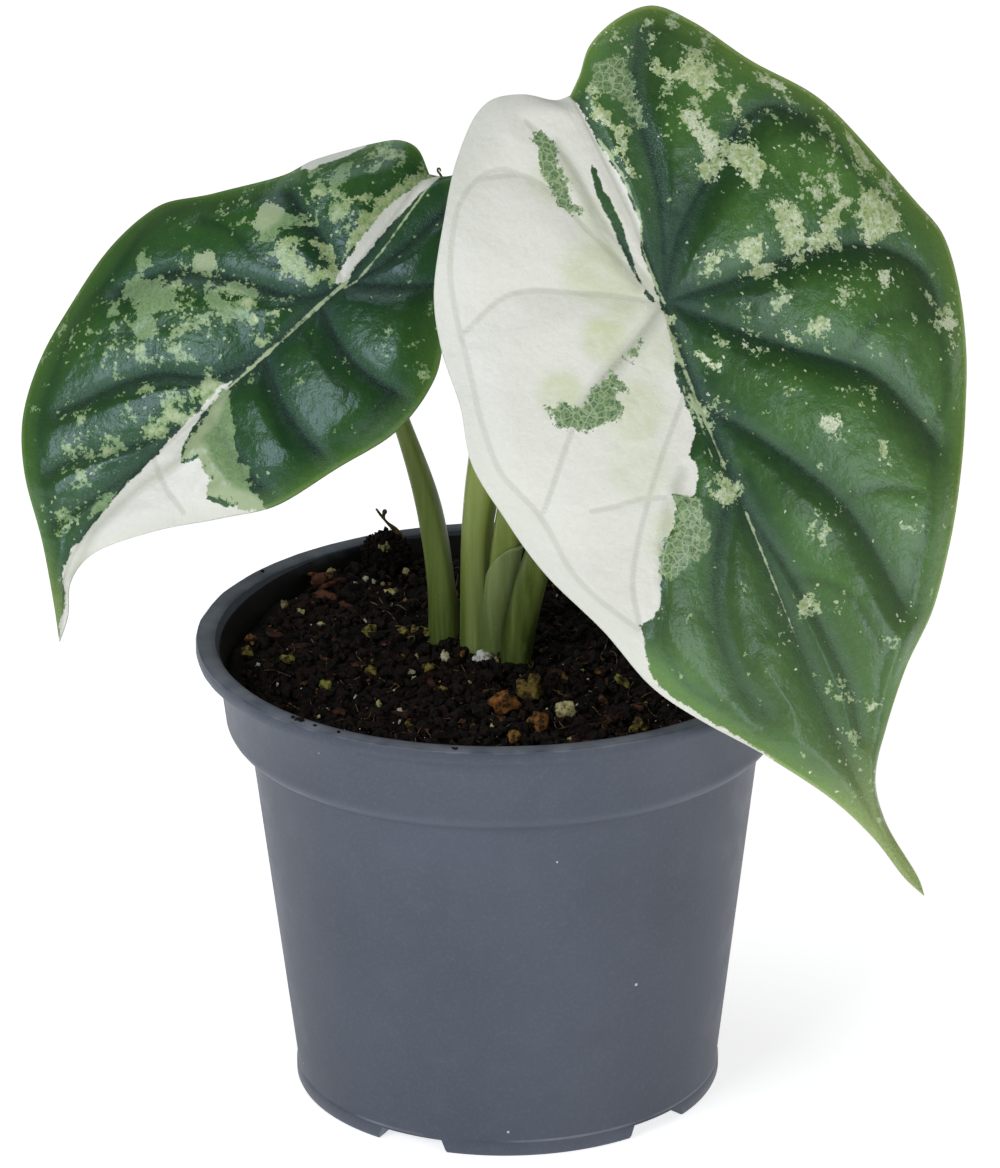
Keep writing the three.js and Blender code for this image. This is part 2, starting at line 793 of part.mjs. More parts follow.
const pottedPlant = new THREE.Group();
pottedPlant.add(
  piece('pot', potGeometry(), MATERIALS.pot),
  piece('soil', soilGeometry(), MATERIALS.soil),
  piece('petiole_left', leafStalk(LEFT_STALK, LEFT_LEAF), MATERIALS.stalk),
  piece('petiole_front', leafStalk(FRONT_STALK, FRONT_LEAF), MATERIALS.stalk),
  piece('petiole_young', youngStalkGeometry(), MATERIALS.stalk),
  piece('young_shoot', stalkGeometry(SHOOT), MATERIALS.stalk),
  piece('rolled_leaf', rolledLeafGeometry(), MATERIALS.youngLeaf),
  hungBlade('leaf_left', LEFT_LEAF, MATERIALS.blade),
  hungBlade('leaf_front', FRONT_LEAF, MATERIALS.paleBlade),
);

export default pottedPlant;
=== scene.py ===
import math
import random
from functools import partial

import bmesh
import bpy
import numpy as np
from mathutils import Matrix, Vector, noise


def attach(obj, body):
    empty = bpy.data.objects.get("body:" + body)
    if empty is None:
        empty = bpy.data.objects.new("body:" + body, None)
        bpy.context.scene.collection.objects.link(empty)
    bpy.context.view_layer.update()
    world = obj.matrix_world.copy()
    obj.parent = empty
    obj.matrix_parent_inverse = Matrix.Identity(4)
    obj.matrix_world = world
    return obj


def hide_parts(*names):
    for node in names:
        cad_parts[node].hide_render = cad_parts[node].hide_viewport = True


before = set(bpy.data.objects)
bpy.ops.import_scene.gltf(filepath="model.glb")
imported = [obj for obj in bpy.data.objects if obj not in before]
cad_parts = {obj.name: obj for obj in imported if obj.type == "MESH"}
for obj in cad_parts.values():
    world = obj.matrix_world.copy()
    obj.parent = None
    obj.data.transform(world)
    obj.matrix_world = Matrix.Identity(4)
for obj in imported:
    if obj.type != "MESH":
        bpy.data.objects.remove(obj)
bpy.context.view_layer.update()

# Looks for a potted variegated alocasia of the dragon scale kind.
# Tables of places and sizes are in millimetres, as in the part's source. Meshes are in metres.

MM = 0.001

# Small helpers


def linear(hex_colour, alpha=1.0):
    """Turns an sRGB hex colour into the linear one that shaders take."""
    channels = [int(hex_colour[i:i + 2], 16) / 255 for i in (1, 3, 5)]
    return (*(c / 12.92 if c <= 0.04045 else ((c + 0.055) / 1.055) ** 2.4 for c in channels), alpha)


def add_node(tree, kind, inputs=(), output=0, **settings):
    """Adds a shader node with its settings, sets or links its inputs, and returns one output."""
    node = tree.nodes.new("ShaderNode" + kind)
    for name, value in settings.items():
        setattr(node, name, value)
    for socket, value in inputs.items() if isinstance(inputs, dict) else enumerate(inputs):
        if isinstance(value, bpy.types.NodeSocket):
            tree.links.new(value, node.inputs[socket])
        else:
            node.inputs[socket].default_value = value
    return node.outputs[output] if len(node.outputs) else None


def new_material(name):
    """An empty material, and the function that adds nodes to it."""
    material = bpy.data.materials.new(name)
    material.use_nodes = True
    material.node_tree.nodes.clear()
    return material, partial(add_node, material.node_tree)


def ease(x):
    """A soft step from 0 to 1, as x goes from 0 to 1."""
    x = np.clip(x, 0, 1)
    return x * x * (3 - 2 * x)


def new_object(bm, name):
    """Turns a bmesh into an object of the scene."""
    mesh = bpy.data.meshes.new(name)
    bm.to_mesh(mesh)
    bm.free()
    item = bpy.data.objects.new(name, mesh)
    bpy.context.scene.collection.objects.link(item)
    return item


def finish_mesh(bm, name, material, replaced=None, smooth=True):
    """Turns a bmesh into a piece that rides on the plant's one body."""
    piece = new_object(bm, name)
    for polygon in piece.data.polygons:
        polygon.use_smooth = smooth
    piece.data.materials.append(material)
    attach(piece, "root")
    if replaced:
        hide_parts(replaced)
    return piece


def smooth_line(points, steps=24):
    """A dense line through the points, a centripetal Catmull-Rom curve."""
    knots = np.asarray(points, float)
    knots = np.vstack([2 * knots[0] - knots[1], knots, 2 * knots[-1] - knots[-2]])
    share = np.linspace(0, 1, steps, endpoint=False)[:, None]
    pieces = []
    for a, b, c, d in zip(knots, knots[1:], knots[2:], knots[3:]):
        ab, bc, cd = (np.linalg.norm(q - p) ** 0.5 for p, q in ((a, b), (b, c), (c, d)))
        leave = bc * ((b - a) / ab - (c - a) / (ab + bc) + (c - b) / bc)
        arrive = bc * ((c - b) / bc - (d - b) / (bc + cd) + (d - c) / cd)
        square, cube = share ** 2, share ** 3
        pieces.append(b * (2 * cube - 3 * square + 1) + c * (3 * square - 2 * cube)
                      + leave * (cube - 2 * square + share) + arrive * (cube - square))
    pieces.append(knots[-2:-1])
    return np.vstack(pieces)


def along_line(line, shares):
    """Points at shares of a line's length."""
    run = np.concatenate([[0], np.cumsum(np.linalg.norm(np.diff(line, axis=0), axis=1))])
    wanted = np.asarray(shares) * run[-1]
    return np.stack([np.interp(wanted, run, line[:, k]) for k in range(line.shape[1])], axis=-1)


def gap_to_line(points, line):
    """The distance of each point from a line, and how far it lies to the line's left, -1 to 1."""
    nearest, side = np.full(len(points), 1000.0), np.zeros(len(points))
    for start, end in zip(line, line[1:]):
        start, span = np.array(start, float), np.subtract(end, start).astype(float)
        share = np.clip((points - start) @ span / (span @ span), 0, 1)
        gap = points - start - share[:, None] * span
        distance = np.hypot(gap[:, 0], gap[:, 1])
        turn = span[0] * gap[:, 1] - span[1] * gap[:, 0]
        leftward = turn / (np.hypot(*span) * np.maximum(distance, 1e-6))
        side = np.where(distance < nearest, leftward, side)
        nearest = np.minimum(nearest, distance)
    return nearest, side


def distance_to_lines(points, lines):
    """The distance of each point from the nearest of the lines."""
    return np.min([gap_to_line(points, line)[0] for line in lines], axis=0)


def line_depth(points, start_width, end_width, line):
    """How deep inside a tapered stroke along a line each point lies, negative outside."""
    deepest = np.full(len(points), -1000.0)
    for k, (start, end) in enumerate(zip(line, line[1:])):
        width = start_width + (end_width - start_width) * (k + 0.5) / (len(line) - 1)
        deepest = np.maximum(deepest, width - distance_to_lines(points, [[start, end]]))
    return deepest


def depth_inside(points, outlines):
    """How deep inside one of the closed outlines each point lies, negative outside all of them."""
    deepest = np.full(len(points), -1000.0)
    for outline in outlines:
        closed = list(outline) + [outline[0]]
        edge = distance_to_lines(points, [closed])
        inside = np.zeros(len(points), bool)
        for (x0, y0), (x1, y1) in zip(closed, closed[1:]):
            if y0 != y1:
                spans = (y0 > points[:, 1]) != (y1 > points[:, 1])
                inside ^= spans & (points[:, 0] < x0 + (points[:, 1] - y0) * (x1 - x0) / (y1 - y0))
        deepest = np.maximum(deepest, np.where(inside, edge, -edge))
    return deepest


# Camera at the photograph's angle, fitted to the lip, collar and foot of the pot

PICTURE_SIZE = (1000, 1168)
CAMERA = {
    "elevation": 21.8, "roll": -0.43, "distance": 1500, "aim": (-0.8, 0, 103.2), "focal_pixels": 7721,
    "sensor_height": 36, "clip": (0.05, 20),
}


def place_camera():
    """Looks from the front and above at the aim, turned a little about its own axis."""
    tilt, roll = math.radians(CAMERA["elevation"]), math.radians(CAMERA["roll"])
    forward = Vector((0, math.cos(tilt), -math.sin(tilt)))
    level = Vector((1, 0, 0))
    upright = level.cross(forward)
    right = math.cos(roll) * level + math.sin(roll) * upright
    up = math.cos(roll) * upright - math.sin(roll) * level
    data = bpy.data.cameras.new("photo_camera")
    data.sensor_fit = "VERTICAL"
    data.sensor_height = CAMERA["sensor_height"]
    data.lens = CAMERA["focal_pixels"] * data.sensor_height / PICTURE_SIZE[1]
    data.clip_start, data.clip_end = CAMERA["clip"]
    camera = bpy.data.objects.new("photo_camera", data)
    place = (Vector(CAMERA["aim"]) - CAMERA["distance"] * forward) * MM
    turn = Matrix((right, up, -forward)).transposed().to_4x4()
    camera.matrix_world = Matrix.Translation(place) @ turn
    bpy.context.scene.collection.objects.link(camera)
    bpy.context.scene.camera = camera


# Stage: a pale floor, two soft lights low in front at the left and right, and a weaker one above

# Name: from which side (x, y, z), distance m, size m, watts, colour
LIGHTS = {
    "left_softbox": ((-0.65, -0.8, 0.45), 1.8, 0.78, 12.5, "#F6FAFF"),
    "right_softbox": ((0.6, -0.85, 0.25), 1.8, 0.8, 7.5, "#FFFDF8"),
    "top_softbox": ((-0.3, 0.2, 1.0), 1.7, 0.9, 5, "#F4F9FF"),
}
LIT_HEIGHT = 120
WORLD_STRENGTH = 0.16
FLOOR_SIZE = 6


def white_board():
    """A matt white studio board with a grain of about a millimetre, a little overexposed as in a
    product picture."""
    material, add = new_material("matt_white_board")
    place = add("TexCoord", output="Object")
    grain = add("TexNoise", {"Vector": place, "Scale": 0.9 / MM, "Detail": 3.0})
    paint = add("MapRange", (grain, 0.0, 1.0, 0.93, 0.95))
    board = add("BsdfPrincipled", {
        "Base Color": paint, "Roughness": 0.9, "Emission Color": (1, 1, 1, 1),
        "Emission Strength": 0.7})
    add("OutputMaterial", (board,))
    return material


def make_stage():
    """The floor, the even light of the room and the three soft boxes."""
    bm = bmesh.new()
    bmesh.ops.create_grid(bm, x_segments=1, y_segments=1, size=FLOOR_SIZE)
    floor = new_object(bm, "studio_floor")
    floor.data.materials.append(white_board())
    world = bpy.data.worlds.new("studio_world")
    world.use_nodes = True
    colour, strength = world.node_tree.nodes["Background"].inputs[:2]
    colour.default_value, strength.default_value = (1, 1, 1, 1), WORLD_STRENGTH
    bpy.context.scene.world = world
    for name, (side, distance, size, watts, colour) in LIGHTS.items():
        data = bpy.data.lights.new(name, "AREA")
        data.shape = "SQUARE"
        data.size, data.energy, data.color = size, watts, linear(colour)[:3]
        light = bpy.data.objects.new(name, data)
        away = Vector(side).normalized()
        middle = Vector((0, 0, LIT_HEIGHT * MM))
        turn = away.to_track_quat("Z", "Y").to_matrix().to_4x4()
        light.matrix_world = Matrix.Translation(middle + away * distance) @ turn
        bpy.context.scene.collection.objects.link(light)
    bpy.context.scene.view_settings.view_transform = "Standard"


# Leaf blades. Places on a blade are (u, v): u runs down the midrib from the hub, where the stalk
# joins, towards the tip, and v runs across it to the right.

# What both blades share: heights, widths and distances in mm, shares, the rim's angle in degrees
# and the waves' phase in radians. Spreads and fades are distances.
BLADE = {
    "thickness": 0.85, "edge_thickness": 0.6, "edge_bevel": 3, "rim_bevel": 0.18, "rim_angle": 50,
    "rib_height": 1.3, "rib_spread": 1.7, "rib_slimming": 0.7, "side_rib_height": 0.5,
    "side_rib_spread": 0.9, "quilt": 2.2, "quilt_fade": 9, "valley_round": 0.35,
    "base_side_spread": 6.5, "tip_side_spread": 3.2, "white_calm": 0.62, "calm_fade": 5,
    "edge_curl": 1.1, "curl_width": 8, "wave_height": 0.8, "wave_fade": 20, "wave_phase": 1.5,
    "fine_depth": 0.2, "fine_spread": 1.4, "dimple": 0.7, "dimple_size": 13,
    "shade_spread": 5, "hub_shade": 0.6, "vein_shade": 0.55, "shade_swing": 0.45,
    "flank_spread": 4, "hub_flank": 0.5, "vein_flank": 0.5, "flank_swing": 0.5, "spot_slope": 1.6,
}

# Each blade: the place of its hub, its turns in degrees, how far it rises, folds and droops away
# from the midrib, waves along each edge, the grid that it is made from, and its lines and patches
FRONT_LEAF = {
    "hub": (30.5, -24, 169.5), "facing": 12, "tilt": 28, "roll": 24,
    "rise": 0.1, "fold": 0.0042, "tip_droop": 0.0007, "lobe_droop": 0.0012, "waves": 5,
    "rows": 264, "columns": 80,
    "midrib": [
        (-43, 5), (-29.5, 4), (-17, 3), (0, 0), (17.5, -3), (42, -6), (67, -9), (87.5, -11),
        (103.5, -12), (114, -11.5), (121.5, -10),
    ],
    "right_edge": [
        (-43, 5), (-45.5, 8.5), (-49.5, 13), (-51.5, 20.5), (-50.5, 28), (-44, 33.5), (-32, 39.5),
        (-20, 47.5), (-7.5, 52), (6.5, 55.5), (13.5, 57), (23, 55), (36, 49.5), (46, 43),
        (57, 34.5), (67, 26), (75.5, 17.5), (82.5, 7), (90.5, -2), (97.5, -8), (105.5, -10.1),
        (118.5, -9.5), (121.5, -10),
    ],
    "left_edge": [
        (-43, 5), (-43.5, 2), (-47.5, -3), (-49.5, -8.5), (-48.5, -12.5), (-42.5, -20.5),
        (-35.5, -27), (-23, -36.5), (-13, -40.5), (-2, -43), (8.5, -46.5), (20.5, -46), (34, -44.5),
        (48.5, -40.5), (61.5, -37.5), (71.5, -32.5), (85, -24), (97.5, -17), (107.5, -13.5),
        (117, -11.7), (121.5, -10),
    ],
    "veins": [
        [(0, 0), (-7, 4), (-20, 10), (-37, 15), (-48, 23)],
        [(0, 0), (-10, 9), (-18, 21.5), (-23, 32), (-23, 37), (-19, 42.5)],
        [(0, 0), (2.5, 13.5), (5, 30.5), (10, 42.5), (19, 49), (26, 48)],
        [(0, 0), (7, 6), (20.5, 18.5), (31, 29), (42.5, 33), (48, 34)],
        [(11.5, -3), (20, -3), (31.5, 3.5), (50.5, 11.5), (71, 12.5)],
        [(40, -6), (59.5, -4), (80.5, -4.5), (89, -7)],
        [(0, 0), (-19.5, -2.5), (-32.5, -2.5), (-42.5, -5.5)],
        [(0, 0), (-17, -5.5), (-33, -10.5), (-37.5, -19)],
        [(0, 0), (-9, -13), (-15.5, -25), (-13.5, -36)],
        [(0, 0), (4, -9.5), (9.5, -23.5), (23, -39.5)],
        [(15, -3), (28, -18.5), (42.5, -31.5), (50.5, -34.5)],
        [(35, -5), (50, -18), (68, -23.5), (76.5, -21.5)],
    ],
    "fine_veins": [
        [(25, 28.5), (22.5, 34.5), (24.5, 41), (28.5, 45.5)],
        [(49, 11), (49, 14.5), (50.5, 19.5), (55.5, 26)],
        [(57.5, -3.5), (60.5, 0.5), (65.5, 3.5), (71, 4), (77.5, 4)],
        [(66, -10), (64, -14.5), (65.5, -17.5), (68.5, -20)],
        [(-21.5, 39), (-16, 43), (-9.5, 45.5), (-2.5, 47), (5.5, 47.5), (15, 48), (20.5, 48),
         (27.5, 46), (35.5, 43.5), (40.5, 41), (47, 34), (53.5, 29.5), (63.5, 21.5), (70.5, 14),
         (79, 3.5), (92, -5.5)],
        [(-31.5, -10.5), (-34, -11.5), (-37, -14.5), (-37.5, -19), (-35, -24.5), (-30, -29),
         (-23.5, -33), (-11.5, -37), (-5, -39), (3, -41.5), (12.5, -43), (17.5, -42), (23.5, -40.5),
         (35.5, -40.5), (42, -39), (51, -35)],
        [(32, -18.5), (30, -22.5), (29, -27), (27.5, -32)],
        [(39, -23.5), (45.5, -27), (54.5, -32), (61, -32.5), (66, -31.5), (71.5, -28)],
        [(54.5, -23), (61, -22), (67.5, -22), (76, -24)],
    ],
    "white": [
        [(-43, 4.5), (-39.5, 5), (-32.5, 4.5), (-29.5, 4.5), (-25, 5), (-21.5, 4.5), (-17.5, 4),
         (-13, 2.5), (-10, 1), (-4, 0), (-1, -0.5), (2.5, -1.5), (8.5, -3), (11.5, -4.5),
         (13.5, -5.5), (17.5, -6), (21, -6.5), (24, -7), (25.5, -8.5), (27.5, -10.5), (29, -10),
         (31.5, -11), (34, -13), (34.5, -14.5), (33, -16), (32, -17), (34, -17.5), (36, -18),
         (38, -20.5), (39.5, -23), (42.5, -25.5), (45.5, -27), (49, -29.5), (50.5, -32),
         (50.5, -34.5), (54, -35.5), (58.5, -36.5), (61.5, -39.5), (75, -60), (-70, -60),
         (-70, 4.5)],
        [(57, -36.5), (61.5, -36.8), (71.5, -31.8), (79, -27.2), (85, -23.8), (85, -30), (61, -45)],
    ],
    "green_in_white": [
        [(-30, 1), (-28, 1.5), (-24.5, 0.5), (-21, 0.5), (-17.5, 0.5), (-13.5, -0.5), (-9, -1.5),
         (-4.5, -2), (-1, -1.5), (-2, -2.2), (-7, -2.4), (-12.5, -2), (-17, -1.5), (-21.5, -1),
         (-25.5, -0.5)],
    ],
    "sage": [
        [(-40, -5.5), (-39, -3.5), (-35.5, -3.5), (-32, -4.5), (-28.5, -4), (-25, -6),
         (-21.5, -5.5), (-23.5, -7), (-26.5, -8), (-31, -8.5), (-35, -8)],
        [(6.5, -29.5), (7, -27), (9.5, -24), (8, -20.5), (6.5, -17.5), (6, -15), (9.5, -14.5),
         (11, -15.5), (10, -16.5), (11, -18.5), (13, -17.5), (15, -19), (15, -21), (14, -25),
         (12, -28.5), (9.5, -30)],
        [(8, -21), (6, -17), (5, -13.5), (4.5, -10), (3.5, -6.5), (5.5, -8.5), (6, -12),
         (6.5, -15.5), (7.5, -19)],
        [(32, -17), (33, -15.5), (34.5, -14), (35.5, -13), (38, -14), (41.5, -14), (44.5, -15.5),
         (45.5, -18.5), (46, -23.5), (46, -26.5), (43.5, -26), (41, -24), (39, -23), (38, -20),
         (36.5, -18.5), (34.5, -17.5)],
        [(-46.5, 11), (-46, 17), (-42, 17.5), (-37, 15.5), (-31, 14), (-31, 12.5), (-38, 11.5),
         (-43, 9.5)],
    ],
    "cream": [
        [(-40, 21), (-37.5, 24.5), (-38.5, 28), (-38, 29.5), (-34.5, 31), (-30.5, 31), (-26, 32.5),
         (-22.5, 31.5), (-24.5, 30.5), (-29.5, 29.5), (-30.5, 27), (-32.5, 25.5), (-34.5, 24.5),
         (-38, 21.5)],
        [(-30, 21.5), (-29, 23.5), (-26.5, 24), (-24.5, 24), (-22, 25), (-20, 24), (-18.5, 22),
         (-17.5, 19.5), (-19, 19.5), (-21, 21), (-23.5, 20.5), (-27, 21.5)],
        [(-20.5, 24), (-21, 26.5), (-19.5, 28), (-16, 29.5), (-13.5, 29.5), (-12, 28),
         (-12.5, 25.5), (-14, 24), (-17.5, 23.5)],
        [(-18, 19), (-18.5, 23), (-16.5, 21), (-15.5, 20), (-16, 18.5)],
        [(-42, 8.5), (-40, 8.5), (-37, 8), (-34.5, 9.5), (-32, 9.5), (-29, 8.5), (-24.5, 6.5),
         (-28.5, 7), (-31.5, 7.5), (-34.5, 6.5), (-37.5, 6)],
        [(-30, 38), (-28, 40), (-26.5, 42), (-24.5, 42.5), (-24, 40.5), (-25.5, 39.5),
         (-27.5, 38.5)],
        [(-12.5, 48.5), (-10.5, 49.5), (-7.5, 50), (-5, 51), (-2.5, 51), (-2, 50), (-4, 49),
         (-9, 48)],
        [(-0.5, 44.5), (1, 47.5), (3, 49), (6, 50.5), (8.5, 50), (9, 47.5), (9, 44.5), (10, 43),
         (8, 40.5), (6, 41), (4.5, 43), (2, 43.5)],
        [(-6.5, 28), (-5.5, 30.5), (-3, 31.5), (-1, 30.5), (1.5, 31), (2.5, 34), (0, 36),
         (-1, 38.5), (-1.5, 40.5), (0, 42), (1.5, 39.5), (3, 37), (6, 36), (5, 33), (4, 29.5),
         (4, 25), (2, 27), (-0.5, 27.5), (-2, 25.5)],
        [(-1.5, 17.5), (-2.5, 19), (-2.5, 23), (0, 21.5), (1.5, 19.5), (0, 18)],
        [(-2.5, 10), (-3.5, 11), (-4.5, 14), (-3, 14.5), (-2, 12.5)],
        [(2.5, 13.5), (3, 18.5), (3.5, 23.5), (4, 29.5), (6, 35.5), (5, 29), (4.5, 23.5),
         (4, 18.5)],
        [(13, 8.5), (14.5, 10), (15.5, 9.5), (14.5, 8)],
        [(12, 1), (13, 1.5), (15.5, 3), (15, 1.5), (13.5, 0.5)],
        [(16.5, 17.5), (17.5, 20), (17.5, 23.5), (18, 25.5), (19.5, 24), (18, 21.5), (19, 19),
         (17.5, 17)],
        [(14.5, 40), (15, 42), (17.5, 42.5), (18, 40.5), (16.5, 39)],
        [(26.5, 47.5), (28, 49.5), (30.5, 50), (31.5, 48), (34, 47.5), (31.5, 46.5), (29, 46.5)],
        [(34.5, 15.5), (34.5, 17.5), (36, 20), (37, 18), (36, 16)],
        [(42, 24), (43.5, 24.5), (47.5, 22.5), (47.5, 21), (44.5, 23)],
        [(31.5, -6), (33, -6), (35, -6), (38, -7), (39, -8.5), (36.5, -8), (33.5, -6.8)],
        [(0.5, -2.3), (1.5, -0.8), (5, -1.3), (8.8, -2), (8.8, -3.3), (6, -3), (3.5, -3)],
        [(60, -9.5), (62, -9.5), (65, -10), (67, -10), (66, -11.5), (63, -11)],
        [(60.5, -3.5), (61, -1.5), (63.5, -2.5), (63.5, -4.5), (62, -5)],
    ],
    # Specks: middle u and v, radius, share of the spot that they cover
    "specks": [
        (-32, 34.5, 7, 0.35), (-21.5, 43, 6, 0.45), (-32, 21.5, 6, 0.45), (-29, 17, 5, 0.3),
        (-13.5, 37.5, 7, 0.35), (-8.5, 44.5, 7, 0.45), (-4, 38, 8, 0.6), (-10, 32.5, 7, 0.3),
        (0, 51, 7, 0.45), (9, 31, 6, 0.35), (14, 34, 7, 0.45), (16, 40.5, 6, 0.5),
        (5.5, 15, 4, 0.35), (8, 20, 6, 0.4), (12, 5, 5, 0.4), (19, 12, 6, 0.35), (26, 14, 6, 0.25),
        (27, 37, 7, 0.1), (22, 36, 5, 0.2), (33.5, 24.5, 6, 0.45), (38.5, 22.5, 5, 0.4),
        (45, 22.5, 4, 0.3), (50, 5, 5, 0.35), (53.5, 6, 4, 0.3), (35, -7.5, 6, 0.6),
        (62, -4, 5, 0.55), (66, -2, 5, 0.35), (79, -6.5, 5, 0.5), (66, -12, 4, 0.25),
        (88, -9.5, 5, 0.4), (-44, 28, 8, 0.3), (-40, 12, 7, 0.45), (30, 50, 8, 0.2),
        (60, 20, 8, 0.15), (75, 10, 8, 0.2), (22, -5, 6, 0.6), (10, -3.5, 3, 0.5),
        (-15, 48, 7, 0.45), (96, -11, 8, 0.3), (-20, 5, 7, 0.2), (-46, 16, 7, 0.5), (5, 28, 6, 0.4),
    ],
    # Pale green tints on the white: middle u and v, radius, strength
    "tints": [
        (-12, -8.5, 9, 0.55), (-5, -6, 8, 0.5), (0.5, -13.5, 6.5, 0.7), (5.5, -26, 6, 0.6),
        (15, -16, 9, 0.55), (24, -20, 9, 0.3), (-30, -7, 6, 0.35), (-20, -3, 6, 0.4),
        (40, -20, 8, 0.5), (8, -6, 7, 0.3),
    ],
    # Lines: half width at the start and at the end, points
    "pale_lines": [
        (0.45, 0.2, [(1, -1.5), (8.5, -2.4), (13, -3), (19.5, -4), (26, -4.6), (30, -5), (33, -5.5)]),
        (0.25, 0.1, [(16, -4), (21, -5.2), (27, -6.2), (31, -7.3)]),
        (0.3, 0.3, [(-33, 4.8), (-25, 5.2), (-17.5, 4.3), (-10, 1.3), (-4, 0.3), (0, 0)]),
        (0.22, 0.12, [(42, -6), (55, -7.6), (66, -9)]),
    ],
    # Painted shadows along veins on the white: half width at the start and at the end, points
    "vein_shadows": [
        (1.3, 0.8, [(0.5, -1.5), (2.5, -4.5), (4, -9), (5.5, -13.5), (7, -18), (8.5, -21.5),
                    (9.5, -24)]),
        (0.9, 1.3, [(2.5, -4.5), (4, -9), (5.5, -13.5), (7, -18)]),
        (0.6, 0.6, [(29.5, -13.5), (31, -15.5), (33.5, -18.5), (36.5, -21), (39.5, -23.5),
                    (45.5, -27)]),
        (0.8, 0.6, [(-36, -3), (-28, -2.8), (-20, -4), (-12, -4), (-5, -3)]),
    ],
    # Where the cream and sage tissue is palest
    "pale": [
        [(-30, 21.5), (-26, 24), (-21, 24.5), (-20, 22), (-24, 21)],
        [(34, 15), (34.5, 18), (36.5, 20.5), (37, 16)],
        [(-27, 41), (-24, 43), (-23.5, 40.5), (-26, 39.5)],
        [(12, 0.5), (13, 2), (16, 3.5), (15.5, 0)], [(13, 7), (13.5, 10.5), (16, 11), (15, 7.5)],
        [(28, -11), (29, -9.5), (32, -11), (34.5, -14.5), (31, -15.5)],
        [(28, 48), (30, 50.5), (33, 48), (30, 46)], [(14, 39.5), (15, 42.5), (18, 42), (17, 39)],
    ],
    # The drip tip turns pale between these two u
    "tail": (84, 116),
}

